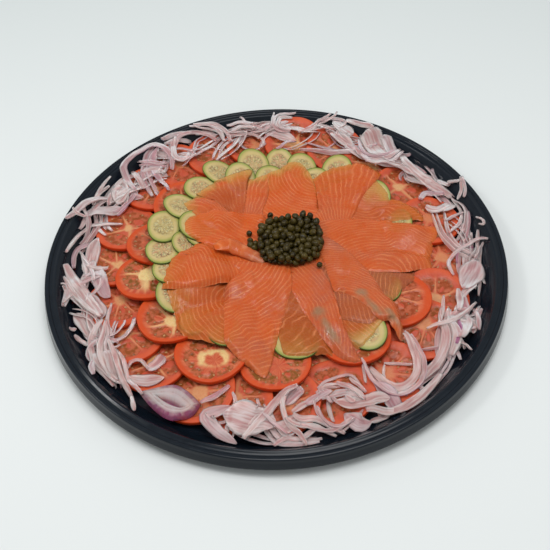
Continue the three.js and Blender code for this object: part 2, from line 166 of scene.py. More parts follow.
def many(template, faces, places):
    """Copies of a template mesh: places is a list of (3x3 matrix, offset)."""
    matrices = np.array([place[0] for place in places])
    offsets = np.array([place[1] for place in places])
    points = np.einsum("nij,pj->npi", matrices, template) + offsets[:, None]
    shift = (np.arange(len(places)) * len(template))[:, None, None]
    return points.reshape(-1, 3), [(group[None] + shift).reshape(-1, group.shape[1]) for group in faces]


def spin(axis, angle):
    return np.array(Matrix.Rotation(angle, 3, axis))


# ---------------------------------------------------------------- the pile


CELL = 0.8
REACH = 236.0
CELLS = int(2 * REACH / CELL) + 1
BARE, ON_TOMATO, ON_CUCUMBER, ON_RIND, ON_SALMON = range(5)
heights = np.zeros((CELLS, CELLS))
covers = np.zeros((CELLS, CELLS), np.int8)


def cell(value):
    return np.clip(np.rint((np.asarray(value) + REACH) / CELL).astype(int), 0, CELLS - 1)


def look_up(grid, x, y):
    """Values of a grid over the whole tray at places, mixed between cells."""
    u = np.clip((np.asarray(x) + REACH) / CELL, 0, CELLS - 1.001)
    v = np.clip((np.asarray(y) + REACH) / CELL, 0, CELLS - 1.001)
    i, j = u.astype(int), v.astype(int)
    a, b = u - i, v - j
    low = grid[j, i] * (1 - a) + grid[j, i + 1] * a
    high = grid[j + 1, i] * (1 - a) + grid[j + 1, i + 1] * a
    return low * (1 - b) + high * b


EYE = CAMERA["distance"] * np.array([0, -math.cos(math.radians(CAMERA["elevation"])), math.sin(math.radians(CAMERA["elevation"]))])
LEVEL = 30.0


def landed(x, y, lift, passes=6, level=LEVEL):
    """Slides places drawn on a level down the line of sight until they lie on the pile, lift above it."""
    z = np.full(np.shape(x), level)
    for _ in range(passes):
        share = (EYE[2] - z) / (EYE[2] - level)
        px, py = x * share, EYE[1] + (y - EYE[1]) * share
        z = 0.4 * z + 0.6 * (look_up(smooth_heights(), px, py) + lift)
    return px, py


def smooth_heights():
    """The pile as a sheet would feel it, with the gaps half filled."""
    if smooth_heights.of is None or not np.array_equal(smooth_heights.of, heights):
        smooth_heights.of = heights.copy()
        smooth_heights.was = soften(heights, 24)
    return smooth_heights.was


smooth_heights.of = None


def soften(field, passes):
    """Blurs a field by one cell for each pass."""
    for _ in range(passes):
        edged = np.pad(field, 1, mode="edge")
        field = (edged[1:-1, :-2] + 2 * edged[1:-1, 1:-1] + edged[1:-1, 2:]) / 4
        edged = np.pad(field, 1, mode="edge")
        field = (edged[:-2, 1:-1] + 2 * edged[1:-1, 1:-1] + edged[2:, 1:-1]) / 4
    return field


class Sheet:
    """A slice that lies on the pile: where it is, and the height of its underside."""

    def __init__(self, outline, bend, base=None, passes=3, gap=0.15):
        """Outline is a closed [x, y] polygon, bend the tightest radius that the slice takes."""
        low, high = outline.min(0) - 6, outline.max(0) + 6
        self.rows = slice(cell(low[1]), cell(high[1]) + 1)
        self.columns = slice(cell(low[0]), cell(high[0]) + 1)
        ys = np.arange(self.rows.start, self.rows.stop) * CELL - REACH
        xs = np.arange(self.columns.start, self.columns.stop) * CELL - REACH
        self.x, self.y = np.meshgrid(xs, ys)
        self.inside = inside(outline, self.x, self.y)
        under = heights[self.rows, self.columns]
        ground = base(self.x, self.y) if base else np.zeros_like(under)
        load = np.where(self.inside, under - ground, -200.0)
        bare = load.copy()
        for axis in (0, 1):
            widest = int(min(70, math.sqrt(2 * bend * 30)) / CELL)
            best = load.copy()
            for step in range(1, min(widest, load.shape[axis] - 1) + 1):
                drop = (step * CELL) ** 2 / (2 * bend)
                if axis == 0:
                    best[step:] = np.maximum(best[step:], load[:-step] - drop)
                    best[:-step] = np.maximum(best[:-step], load[step:] - drop)
                else:
                    best[:, step:] = np.maximum(best[:, step:], load[:, :-step] - drop)
                    best[:, :-step] = np.maximum(best[:, :-step], load[:, step:] - drop)
            load = best
        for _ in range(passes):
            load = np.maximum(soften(load, 2), bare)
        self.low = soften(np.maximum(load, bare), 1) + ground + gap
        self.was = covers[self.rows, self.columns].copy()

    def at(self, x, y, grid=None):
        grid = self.low if grid is None else grid
        u = (np.asarray(x) + REACH) / CELL - self.columns.start
        v = (np.asarray(y) + REACH) / CELL - self.rows.start
        u = np.clip(u, 0, grid.shape[1] - 1.001)
        v = np.clip(v, 0, grid.shape[0] - 1.001)
        i, j = u.astype(int), v.astype(int)
        a, b = u - i, v - j
        low = grid[j, i] * (1 - a) + grid[j, i + 1] * a
        high = grid[j + 1, i] * (1 - a) + grid[j + 1, i + 1] * a
        return low * (1 - b) + high * b

    def lay(self, thick, kind):
        """Adds the slice to the pile; kind is a cover, or an array of them."""
        window = heights[self.rows, self.columns]
        top = self.low + thick
        window[self.inside] = np.maximum(window, top)[self.inside]
        cover = covers[self.rows, self.columns]
        cover[self.inside] = kind[self.inside] if isinstance(kind, np.ndarray) else kind


def inside(outline, x, y):
    """Which places lie inside a closed polygon."""
    found = np.zeros(x.shape, bool)
    for (x0, y0), (x1, y1) in zip(outline, np.roll(outline, -1, 0)):
        if y0 == y1:
            continue
        crosses = (y0 > y) != (y1 > y)
        found ^= crosses & (x < (x1 - x0) * (y - y0) / (y1 - y0) + x0)
    return found


def solid_points(name):
    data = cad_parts[name].data
    points = np.empty(len(data.vertices) * 3)
    data.vertices.foreach_get("co", points)
    return points.reshape(-1, 3) / MM


def bent_plane(points, thick, order=2):
    """The smooth underside that a node's points follow, as a function of x and y."""
    mx, my = points[:, 0].mean(), points[:, 1].mean()

    def terms(x, y):
        u, v = (x - mx) / 30, (y - my) / 30
        rows = [np.ones_like(u), u, v]
        if order == 2:
            rows += [u * u, u * v, v * v]
        return np.stack([row.ravel() for row in rows], 1)

    found = np.linalg.lstsq(terms(points[:, 0], points[:, 1]), points[:, 2], rcond=None)[0]
    return lambda x, y: (terms(np.asarray(x, float), np.asarray(y, float)) @ found).reshape(np.shape(x)) - thick / 2


# ---------------------------------------------------------------- settings


class TrayLooks(bpy.types.PropertyGroup):
    plastic: StringProperty(name="Plastic", default="#0c1219", description="Colour of the formed sheet")
    sides: IntProperty(name="Sides", default=288, description="Steps round the tray")


class VegetableLooks(bpy.types.PropertyGroup):
    tomato_flesh: StringProperty(name="Tomato flesh", default="#b84e38", description="Colour between wall and core")
    tomato_wall: StringProperty(name="Tomato wall", default="#bd3c0e", description="Colour of the thick outer wall")
    cucumber_flesh: StringProperty(name="Cucumber flesh", default="#cdb585", description="Colour of the cut flesh")
    cucumber_rind: StringProperty(name="Cucumber rind", default="#435211", description="Colour of the rind")


class SalmonLooks(bpy.types.PropertyGroup):
    flesh: StringProperty(name="Flesh", default="#c85616", description="Colour of the flesh")
    fat: StringProperty(name="Fat", default="#e08c5c", description="Colour of the fat lines")
    thick: FloatProperty(name="Thickness", default=1.8, description="Of a slice, in millimetres")


class CaperLooks(bpy.types.PropertyGroup):
    olive: StringProperty(name="Olive", default="#2e2510", description="Colour of the berries")
    count: IntProperty(name="Count", default=205, description="Berries in the heap")
    radius: FloatProperty(name="Radius", default=3.45, description="Of a berry, in millimetres")


class OnionLooks(bpy.types.PropertyGroup):
    flesh: StringProperty(name="Flesh", default="#f6ebe7", description="Colour of the shreds")
    skin: StringProperty(name="Skin", default="#b0568e", description="Colour of their outer skin")
    count: IntProperty(name="Count", default=165, description="Loose bunches in the border")


class StageLooks(bpy.types.PropertyGroup):
    ground: StringProperty(name="Floor", default="#dcdfde", description="Colour of the floor")
    lens: FloatProperty(name="Lens", default=58.9, description="Focal length in millimetres")


# ---------------------------------------------------------------- stage


class PLATTER_OT_stage(bpy.types.Operator):
    """Sets the camera, the floor and the lights"""

    bl_idname = "platter.stage"
    bl_label = "Stage"

    def execute(self, context):
        looks = context.scene.platter_stage
        scene = context.scene
        scene.view_settings.view_transform = "Standard"
        e = math.radians(CAMERA["elevation"])
        eye = Vector((0, -math.cos(e), math.sin(e))) * CAMERA["distance"] * MM
        ahead = -eye.normalized()
        right = Vector((1, 0, 0))
        up = right.cross(ahead)
        ahead = Matrix.Rotation(math.radians(CAMERA["yaw"]), 3, up) @ ahead
        right = Matrix.Rotation(math.radians(CAMERA["yaw"]), 3, up) @ right
        ahead = Matrix.Rotation(math.radians(CAMERA["pitch"]), 3, right) @ ahead
        up = right.cross(ahead)
        right = Matrix.Rotation(math.radians(CAMERA["roll"]), 3, ahead) @ right
        up = right.cross(ahead)
        camera = bpy.data.objects.new("camera", bpy.data.cameras.new("camera"))
        camera.data.lens = looks.lens
        camera.data.sensor_width = 36
        camera.data.clip_start = 0.05
        turn = Matrix((right, up, -ahead)).transposed().to_4x4()
        camera.matrix_world = Matrix.Translation(eye) @ turn
        scene.collection.objects.link(camera)
        scene.camera = camera

        world = bpy.data.worlds.new("studio")
        world.use_nodes = True
        world.node_tree.nodes.clear()
        sky = add(world.node_tree, "ShaderNodeBackground", {"Color": linear("#f1f5f6"), "Strength": 0.6})
        add(world.node_tree, "ShaderNodeOutputWorld", {"Surface": sky.outputs[0]})
        scene.world = world

        for name, place, size, power in (
            ("light_over", (0.15, -0.05, 1.6), 1.0, 14.0),
            ("light_left", (-1.0, 0.1, 1.2), 0.3, 4.5),
        ):
            light = bpy.data.objects.new(name, bpy.data.lights.new(name, "AREA"))
            light.data.shape = "DISK"
            light.data.size = size
            light.data.energy = power
            light.location = place
            light.rotation_euler = (-Vector(place)).to_track_quat("-Z", "Y").to_euler()
            scene.collection.objects.link(light)

        # Sealed laminate table top, satin: broad soft reflections only.
        material = bpy.data.materials.new("laminate_table")
        material.use_nodes = True
        tree = material.node_tree
        shader = tree.nodes["Principled BSDF"]
        where = add(tree, "ShaderNodeTexCoord")
        place = add(tree, "ShaderNodeSeparateXYZ", {0: where.outputs["Object"]})
        # Painted shade: the floor's colour darkens towards the back, where the lamp's light falls off.
        falloff_shade = add(tree, "ShaderNodeMapRange", {0: place.outputs["Y"], 1: 0.0, 2: 0.8, 3: 0.0, 4: 1.0})
        tone = add(tree, "ShaderNodeMix", {0: falloff_shade.outputs[0], 6: linear(looks.ground), 7: linear("#cdd3d2")}, data_type="RGBA")
        tree.links.new(tone.outputs[2], shader.inputs["Base Color"])
        shader.inputs["Roughness"].default_value = 0.75
        shader.inputs["Specular IOR Level"].default_value = 0.25
        mesh = bpy.data.meshes.new("table_top")
        r = 3.0
        mesh.from_pydata([(-r, -r, 0), (r, -r, 0), (r, r, 0), (-r, r, 0)], [], [(0, 1, 2, 3)])
        mesh.materials.append(material)
        table = bpy.data.objects.new("table_top", mesh)
        table.location.z = -0.0004
        scene.collection.objects.link(table)
        return {"FINISHED"}


# ---------------------------------------------------------------- tray


def smooth_profile(corners, radius, steps=4):
    """A profile of [radius, height] points with its corners rounded."""
    points = [np.array(corners[0], float)]
    for before, at, after in zip(corners, corners[1:], corners[2:]):
        before, at, after = (np.array(p, float) for p in (before, at, after))
        cut_in = min(radius, np.linalg.norm(at - before) * 0.45)
        cut_out = min(radius, np.linalg.norm(after - at) * 0.45)
        a = at + (before - at) / np.linalg.norm(before - at) * cut_in
        b = at + (after - at) / np.linalg.norm(after - at) * cut_out
        for t in np.linspace(0, 1, steps):
            points.append((1 - t) ** 2 * a + 2 * t * (1 - t) * at + t * t * b)
    points.append(np.array(corners[-1], float))
    return np.array(points)


def plastic_material(looks):
    # Thermoformed polystyrene: deep blue-black, smooth gloss with faint scuffs from stacking.
    material = bpy.data.materials.new("thermoformed_polystyrene")
    material.use_nodes = True
    tree = material.node_tree
    shader = tree.nodes["Principled BSDF"]
    where = add(tree, "ShaderNodeTexCoord")
    scuff = add(tree, "ShaderNodeTexNoise", {"Vector": where.outputs["Object"], "Scale": per(9), "Detail": 6.0})
    rough = add(tree, "ShaderNodeMapRange", {0: scuff.outputs["Fac"], 1: 0.35, 2: 0.75, 3: 0.14, 4: 0.26})
    tree.links.new(rough.outputs[0], shader.inputs["Roughness"])
    tone = add(tree, "ShaderNodeMix", {0: scuff.outputs["Fac"], 6: linear(looks.plastic), 7: linear("#111922")}, data_type="RGBA")
    tree.links.new(tone.outputs[2], shader.inputs["Base Color"])
    grain = add(tree, "ShaderNodeTexNoise", {"Vector": where.outputs["Object"], "Scale": per(1.6), "Detail": 2.0})
    bump = add(tree, "ShaderNodeBump", {"Strength": 0.02, "Distance": 0.0003, "Height": grain.outputs["Fac"]})
    tree.links.new(bump.outputs[0], shader.inputs["Normal"])
    shader.inputs["IOR"].default_value = 1.55
    shader.inputs["Specular IOR Level"].default_value = 0.2
    return material


class PLATTER_OT_tray(bpy.types.Operator):
    """Builds the formed black tray with its rings, lid ridge and skirt"""

    bl_idname = "platter.tray"
    bl_label = "Tray"

    def execute(self, context):
        looks = context.scene.platter_tray
        outer = solid_points("tray")[:, 0].max()
        k = outer / 228.6
        top = [(0, 2), (150, 2), (199.5, 2), (203.5, 5), (204.5, 6.6), (210.5, 13.2), (211.5, 14.8), (216, 20.5)]
        top += [(219, 19.2), (221.2, 19.2), (222.3, 21.4), (225.9, 21.4), (226.4, 17), (228.4, 9.2)]
        under = [(227.2, 9), (224.7, 16.2), (224.4, 17.6), (217, 17.6), (200.8, 0.05), (120, 0.05), (0, 0.05)]
        profile = smooth_profile([(r * k, z) for r, z in top + under], 1.1)
        sides = looks.sides
        turn = np.linspace(0, 2 * math.pi, sides, endpoint=False)
        body = profile[1:-1]
        rings = np.stack([body[:, :1] * np.cos(turn), body[:, :1] * np.sin(turn), np.repeat(body[:, 1:], sides, 1)], 2)
        points = np.concatenate([[[0, 0, 2]], rings.reshape(-1, 3), [[0, 0, 0.05]]])
        faces = [group[:, ::-1] for group in ring_faces(len(body), sides, True, True)]
        make_piece("formed_tray", points, faces, plastic_material(looks), stands_for=["tray"])
        axis = np.arange(CELLS) * CELL - REACH
        far = np.hypot(*np.meshgrid(axis, axis))
        upper = np.array([p for p in profile[: len(profile) * 2 // 3] if p[1] > 1.9])
        order = np.argsort(upper[:, 0])
        heights[:] = np.interp(far, upper[order, 0], upper[order, 1], right=0)
        return {"FINISHED"}


# ---------------------------------------------------------------- tomatoes


TOMATO_THICK = 5.0
# How far a slice's middle is from its solid's.
TOMATO_SHIFTS = {"tomato_inner_03": (0, -3), "tomato_inner_04": (0, 5), "tomato_inner_06": (-4, 0)}
# Slices flat on the tray that show in gaps between the others: middle and radius.
TUCKED_TOMATOES = [(44, -118, 26), (-108, 112, 27), (-140, -62, 26)]
# Slices whose cut face shows well: chambers, turn in degrees, core size and place, and how pale the core,
# how wide its arms (mm), how hollow its ring and how green the gel are.
TOMATO_FACES = {
    "tomato_inner_01": dict(chambers=6, turn=20, size=0.2, at=(-4, 2), pale=0.3, arms=2.6, ring=0.0, green=0.2),
    "tomato_inner_02": dict(chambers=5, turn=20, size=0.2, at=(0, -4), pale=0.35, arms=3.0, ring=0.0, green=0.5),
    "tomato_inner_03": dict(chambers=5, turn=50, size=0.22, at=(3, -6), pale=0.0, arms=2.0, ring=0.0, green=0.85),
    "tomato_inner_04": dict(chambers=6, turn=95, size=0.42, at=(3, -10), pale=0.8, arms=0.9, ring=1.0, green=0.6),
    "tomato_inner_05": dict(chambers=5, turn=58, size=0.24, at=(3, -6), pale=0.8, arms=3.4, ring=0.0, green=0.45),
    "tomato_inner_06": dict(chambers=4, turn=-8, size=0.28, at=(-2, 3), pale=1.0, arms=5.5, ring=0.0, green=0.9),
    "tomato_inner_07": dict(chambers=5, turn=70, size=0.22, at=(0, 0), pale=0.35, arms=2.6, ring=0.0, green=0.3),
    "tomato_inner_08": dict(chambers=5, turn=30, size=0.2, at=(0, 0), pale=0.3, arms=2.4, ring=0.0, green=0.3),
}


def tomato_material(looks):
    # Ripe tomato, knife cut: smooth wet wall, fibrous flesh, glassy gel in its chambers, thin waxy skin.
    material = bpy.data.materials.new("cut_tomato")
    material.use_nodes = True
    tree = material.node_tree
    shader = tree.nodes["Principled BSDF"]
    where = add(tree, "ShaderNodeTexCoord")
    polar = add(tree, "ShaderNodeAttribute", attribute_name="polar")
    names = ("wall", "gel", "core", "skin", "tone", "green")
    layers = {n: add(tree, "ShaderNodeAttribute", attribute_name=n).outputs["Fac"] for n in names}
    fibre = add(tree, "ShaderNodeTexNoise", {"Vector": polar.outputs["Vector"], "Scale": 1.0, "Detail": 4.0})
    fine = add(tree, "ShaderNodeTexNoise", {"Vector": where.outputs["Object"], "Scale": per(2.0), "Detail": 4.0})
    broad = add(tree, "ShaderNodeTexNoise", {"Vector": where.outputs["Object"], "Scale": per(10), "Detail": 2.0})
    streak = add(tree, "ShaderNodeMapRange", {0: fibre.outputs["Fac"], 1: 0.4, 2: 0.62, 3: 0.0, 4: 1.0})
    flesh = add(tree, "ShaderNodeMix", {0: streak.outputs[0], 6: linear("#b4452a"), 7: linear("#cc744e")}, data_type="RGBA")
    flesh = add(tree, "ShaderNodeMix", {0: layers["tone"], 6: flesh.outputs[2], 7: linear(looks.tomato_flesh)}, data_type="RGBA")
    wall = add(tree, "ShaderNodeMix", {0: broad.outputs["Fac"], 6: linear(looks.tomato_wall), 7: linear("#c95220")}, data_type="RGBA")
    blush = add(tree, "ShaderNodeMath", {0: layers["tone"], 1: fibre.outputs["Fac"]}, operation="MULTIPLY")
    wall = add(tree, "ShaderNodeMix", {0: blush.outputs[0], 6: wall.outputs[2], 7: linear("#ca644a")}, data_type="RGBA")
    mixed = add(tree, "ShaderNodeMix", {0: layers["wall"], 6: flesh.outputs[2], 7: wall.outputs[2]}, data_type="RGBA")
    pale = add(tree, "ShaderNodeMix", {0: fine.outputs["Fac"], 6: linear("#d2a468"), 7: linear("#ecdb9e")}, data_type="RGBA")
    mixed = add(tree, "ShaderNodeMix", {0: layers["core"], 6: mixed.outputs[2], 7: pale.outputs[2]}, data_type="RGBA")
    gel = add(tree, "ShaderNodeMix", {0: layers["green"], 6: linear("#993c20"), 7: linear("#77501f")}, data_type="RGBA")
    lump = add(tree, "ShaderNodeTexNoise", {"Vector": where.outputs["Object"], "Scale": per(4.5), "Detail": 3.0})
    lump = add(tree, "ShaderNodeMapRange", {0: lump.outputs["Fac"], 1: 0.4, 2: 0.6, 3: 0.0, 4: 0.85})
    gel = add(tree, "ShaderNodeMix", {0: lump.outputs[0], 6: gel.outputs[2], 7: linear("#b96244")}, data_type="RGBA")
    mixed = add(tree, "ShaderNodeMix", {0: layers["gel"], 6: mixed.outputs[2], 7: gel.outputs[2]}, data_type="RGBA")
    mixed = add(tree, "ShaderNodeMix", {0: layers["skin"], 6: mixed.outputs[2], 7: linear("#bf3d12")}, data_type="RGBA")
    tree.links.new(mixed.outputs[2], shader.inputs["Base Color"])
    relief = add(tree, "ShaderNodeMath", {0: fine.outputs["Fac"], 1: fibre.outputs["Fac"]}, operation="ADD")
    bump = add(tree, "ShaderNodeBump", {"Strength": 0.4, "Distance": 0.0006, "Height": relief.outputs[0]})
    tree.links.new(bump.outputs[0], shader.inputs["Normal"])
    wet = add(tree, "ShaderNodeMapRange", {0: layers["gel"], 1: 0.0, 2: 1.0, 3: 0.3, 4: 0.1})
    tree.links.new(wet.outputs[0], shader.inputs["Roughness"])
    shader.inputs["IOR"].default_value = 1.37
    shader.inputs["Specular IOR Level"].default_value = 0.3
    shader.inputs["Subsurface Weight"].default_value = 0.2
    shader.inputs["Subsurface Radius"].default_value = (0.004, 0.0012, 0.0005)
    shader.inputs["Subsurface Scale"].default_value = 1.0
    return material


def seed_shape():
    """A flattened drop about 1 long, its tip towards +X."""
    sides, stations = 8, [(-0.5, 0), (-0.42, 0.2), (-0.2, 0.33), (0.05, 0.32), (0.3, 0.17), (0.5, 0)]
    turn = np.linspace(0, 2 * math.pi, sides, endpoint=False)
    rings = [np.stack([np.full(sides, x), r * np.cos(turn), 0.45 * r * np.sin(turn)], 1) for x, r in stations[1:-1]]
    points = np.concatenate([[[stations[0][0], 0, 0]], *rings, [[stations[-1][0], 0, 0]]])
    return points, ring_faces(len(rings), sides, True, True)


def tomato_face(x, y, face, draw_seed):
    """Layers of the cut face at places x, y in units of the radius: wall, gel, core, and a polar direction."""
    draw = np.random.default_rng(draw_seed)
    rho = np.hypot(x, y)
    near = np.clip(1 - rho**2, 0, 1)
    px, py = x - face["at"][0] / 34 * near, y - face["at"][1] / 34 * near
    rho, theta = np.hypot(px, py), np.arctan2(py, px)
    chambers = face["chambers"]
    chamber = 2 * math.pi / chambers
    jitter = draw.uniform(-0.16, 0.16, 3)
    turned = theta - math.radians(face["turn"]) + jitter[0] * np.sin(2 * theta) + jitter[1] * np.sin(3 * theta) + jitter[2] * np.cos(theta)
    index = np.floor(turned / chamber).astype(int) % chambers
    off = (turned / chamber) % 1 - 0.5
    outer = draw.uniform(0.76, 0.83, chambers)[index]
    inner = draw.uniform(0.22, 0.32, chambers)[index] + 0.2 * face["ring"]
    mid, span = (inner + outer) / 2, (outer - inner) / 2
    septum = face["arms"] / 34 / np.maximum(chamber * rho, 0.1) * 0.5
    wide = np.clip(0.5 - septum, 0.12, 0.5)
    rough = 0.16 * value_noise(x * 34, y * 34, 3.0, draw_seed) + 0.1 * value_noise(x * 34, y * 34, 1.4, draw_seed + 1)
    form = np.abs((rho - mid) / span) ** 2.6 + np.abs(off / wide) ** 3.2 + rough
    lump_size = draw.uniform(0.35, 0.8, chambers)[index]
    lump = ((rho - mid + 0.45 * span) / (0.75 * span * lump_size + 0.01)) ** 2 + (off / (wide * 0.62 * lump_size + 0.01)) ** 2 + rough
    gel = ease(1.08, 0.84, form) * ease(0.75, 1.1, lump)
    wall = ease(0.78, 0.9, rho + 0.015 * np.sin(7 * theta + draw_seed))
    arms = np.exp(-(((0.5 - np.abs(off)) * chamber * rho * 34 / max(face["arms"] * 0.55, 0.5)) ** 2)) * ease(0.84, 0.5, rho)
    middle = ease(face["size"] + 0.08, face["size"] - 0.04, rho + 0.07 * value_noise(x * 34, y * 34, 5, draw_seed + 2))
    hollow = ease(face["size"] * 0.72, face["size"] * 0.5, rho + 0.05 * value_noise(x * 34, y * 34, 4, draw_seed + 3)) * face["ring"]
    if face["ring"]:
        middle = middle * ease(-0.9, -0.2, py / face["size"])
    core = np.clip(np.maximum(middle * (1 - hollow), arms * 0.75 * (1 - face["ring"])) * face["pale"], 0, 1) * (1 - gel)
    polar = np.stack([7 * np.cos(theta), 7 * np.sin(theta), 2.2 * rho], -1)
    return wall, gel, core, polar, form


def tomato_slice(name, material, seeds, middle=None, radius=None):
    """One tomato slice on the pile, or flat on the tray at a given middle; adds its seeds' places to seeds."""
    global heights
    pile, flat = heights, middle is not None
    if flat:
        heights = np.full_like(pile, 2.05)
        base = lambda x, y: np.full(np.shape(x), 2.05)
    else:
        points = solid_points(name)
        low, high = points.min(0), points.max(0)
        middle, radius = (low[:2] + high[:2]) / 2 + TOMATO_SHIFTS.get(name, (0, 0)), (high[0] - low[0]) / 2
        base = bent_plane(points, TOMATO_THICK)
    number = int(name[-2:]) + (40 if "inner" in name else 80 if flat else 0)
    draw = np.random.default_rng(900 + number)
    face = TOMATO_FACES.get(name) or dict(
        chambers=int(draw.integers(4, 7)), turn=draw.uniform(0, 90), size=draw.uniform(0.14, 0.24), at=draw.uniform(-4, 4, 2),
        pale=draw.uniform(0.2, 0.6), arms=draw.uniform(1.8, 3.4), ring=0.0, green=draw.uniform(0.1, 0.6),
    )
    sides = 108
    turn = np.linspace(0, 2 * math.pi, sides, endpoint=False)
    reach = radius * (0.985 + 0.02 * wobble(turn, 4, number, 1.2))
    outline = middle + (reach * np.stack([np.cos(turn), np.sin(turn)])).T
    sheet = Sheet(outline, 260, base)
    shares = np.concatenate([np.linspace(0.045, 0.9, 24), [0.93, 0.955, 0.978]])
    rho = np.repeat(shares[:, None], sides, 1)
    theta = np.repeat(turn[None], len(shares), 0)
    wall, gel, core, polar, _ = tomato_face(rho * np.cos(theta), rho * np.sin(theta), face, number)
    xs = middle[0] + rho * reach * np.cos(theta)
    ys = middle[1] + rho * reach * np.sin(theta)
    relief = -0.8 * gel + 0.16 * value_noise(xs, ys, 4, number) + 0.08 * value_noise(xs, ys, 1.7, number + 1) + 0.3 * wall
    zs = sheet.at(xs, ys) + TOMATO_THICK - 0.4 + relief

    def rim(share, drop):
        x = middle[0] + share * reach * np.cos(turn)
        y = middle[1] + share * reach * np.sin(turn)
        return np.stack([x, y, sheet.at(x, y) + TOMATO_THICK - 0.1 - drop], 1)

    down = [rim(0.992, 0.25), rim(1.0, 0.9), rim(1.003, 2.3), rim(0.998, 3.8), rim(0.985, 4.75), rim(0.8, 4.85), rim(0.3, 4.85)]
    top = np.stack([xs, ys, zs], 2).reshape(-1, 3)
    centre = [[middle[0], middle[1], sheet.at(*middle) + TOMATO_THICK - 0.4]]
    foot = [[middle[0], middle[1], sheet.at(*middle) + 0.15]]
    vertices = np.concatenate([centre, top, *down, foot])
    faces = [group[:, ::-1] for group in ring_faces(len(shares) + len(down), sides, True, True)]
    lower = len(down) * sides + 1

    def layer(values, first, below):
        return np.concatenate([[first], values.ravel(), np.full(lower, below)])

    skin = np.concatenate([[0], ease(0.968, 0.985, rho).ravel() * 0.5, np.repeat([0.8, 1, 1, 1, 0.8, 0, 0], sides), [0]])
    layers = {
        "wall": layer(wall, 0, 1),
        "gel": layer(gel, gel[0].mean(), 0),
        "core": layer(core, core[0].mean(), 0),
        "skin": skin,
        "tone": np.full(len(vertices), draw.uniform(0.1, 0.4) + 0.6 * ("inner" not in name)),
        "green": np.full(len(vertices), face["green"]),
        "polar": np.concatenate([[[0, 0, 0]], polar.reshape(-1, 3), np.tile([7.0, 0, 2.5], (lower, 1))]),
    }
    make_piece(name + "_slice", vertices, faces, material, layers, () if flat else [name])
    if flat:
        heights = pile
    sheet.lay(TOMATO_THICK - 0.2, ON_TOMATO)

    spots = draw.uniform(-0.8, 0.8, (420, 2))
    _, wet, _, _, form = tomato_face(spots[:, 0], spots[:, 1], face, number)
    taken = []
    for (u, v), gelled, edge in zip(spots, wet, form):
        if gelled < 0.6 or edge < 0.25 or any(math.hypot(u - a, v - b) < 0.18 for a, b in taken):
            continue
        taken.append((u, v))
        spot = middle + radius * 0.98 * np.array([u, v])
        z = sheet.at(*spot) + TOMATO_THICK - 1.0
        heading = math.atan2(v, u) + math.pi + draw.uniform(-0.6, 0.6)
        seeds.append((spin("Z", heading) @ spin("X", draw.uniform(-0.4, 0.4)) * draw.uniform(2.6, 3.6), [*spot, z]))


class PLATTER_OT_tomatoes(bpy.types.Operator):
    """Lays two rings of tomato slices"""

    bl_idname = "platter.tomatoes"
    bl_label = "Tomatoes"

    def execute(self, context):
        material = tomato_material(context.scene.platter_vegetables)
        seeds = []
        names = sorted(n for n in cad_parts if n.startswith("tomato_outer"))
        names += sorted(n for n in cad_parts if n.startswith("tomato_inner"))
        mound()
        for name in names:
            tomato_slice(name, material, seeds)
        for i, (x, y, radius) in enumerate(TUCKED_TOMATOES):
            tomato_slice(f"tomato_tucked_{i + 1:02d}", material, seeds, np.array([x, y]), radius)
        # Tomato seeds: pale tan husks under a film of gel.
        husk = bpy.data.materials.new("tomato_seed_husk")
        husk.use_nodes = True
        tree = husk.node_tree
        shader = tree.nodes["Principled BSDF"]
        where = add(tree, "ShaderNodeTexCoord")
        spot = add(tree, "ShaderNodeTexNoise", {"Vector": where.outputs["Object"], "Scale": per(4)})
        tone = add(tree, "ShaderNodeMapRange", {0: spot.outputs["Fac"], 1: 0.35, 2: 0.65, 3: 0.0, 4: 1.0})
        tone = add(tree, "ShaderNodeMix", {0: tone.outputs[0], 6: linear("#7a4320"), 7: linear("#b98a56")}, data_type="RGBA")
        tree.links.new(tone.outputs[2], shader.inputs["Base Color"])
        shader.inputs["Roughness"].default_value = 0.35
        points, faces = many(*seed_shape(), seeds)
        make_piece("tomato_seeds", points, faces, husk)
        return {"FINISHED"}


def mound():
    """The hidden middle: a plain low mound that the slices lean on."""
    low, high = solid_points("bed").min(0), solid_points("bed").max(0)
    middle, reach = (low[:2] + high[:2]) / 2, (high[0] - low[0]) / 2
    axis = np.arange(CELLS) * CELL - REACH
    x, y = np.meshgrid(axis, axis)
    share = np.hypot(x - middle[0], y - middle[1]) / reach
    top = np.interp(share, [0, 0.5, 1.0], [high[2], high[2], 8.0])
    heights[share < 1] = np.maximum(heights, top)[share < 1]


class PLATTER_OT_bed(bpy.types.Operator):
    """Covers the hidden middle with plain tomato flesh"""

    bl_idname = "platter.bed"
    bl_label = "Bed"

    def execute(self, context):
        material = bpy.data.materials["cut_tomato"]
        points = solid_points("bed")
        low, high = points.min(0), points.max(0)
        middle, reach = (low[:2] + high[:2]) / 2, (high[0] - low[0]) / 2
        sides = 72
        turn = np.linspace(0, 2 * math.pi, sides, endpoint=False)
        rings = []
        for share, z in ((0.25, high[2]), (0.5, high[2] - 0.3), (0.75, 12), (0.97, 8.2), (1.0, 7.4), (0.995, low[2])):
            r = share * reach * (0.99 + 0.01 * np.sin(9 * turn))
            rings.append(np.stack([middle[0] + r * np.cos(turn), middle[1] + r * np.sin(turn), np.full(sides, z)], 1))
        vertices = np.concatenate([[[*middle, high[2]]], *rings, [[*middle, low[2]]]])
        faces = [group[:, ::-1] for group in ring_faces(len(rings), sides, True, True)]
        count = len(vertices)
        layers = {n: np.zeros(count) for n in ("gel", "core", "skin", "green")}
        layers |= {"wall": np.full(count, 0.4), "tone": np.full(count, 0.5), "polar": vertices * 0.2}
        make_piece("tomato_bed", vertices, faces, material, layers, ["bed"])
        return {"FINISHED"}


# ---------------------------------------------------------------- cucumbers


CUCUMBER_THICK = 1.9
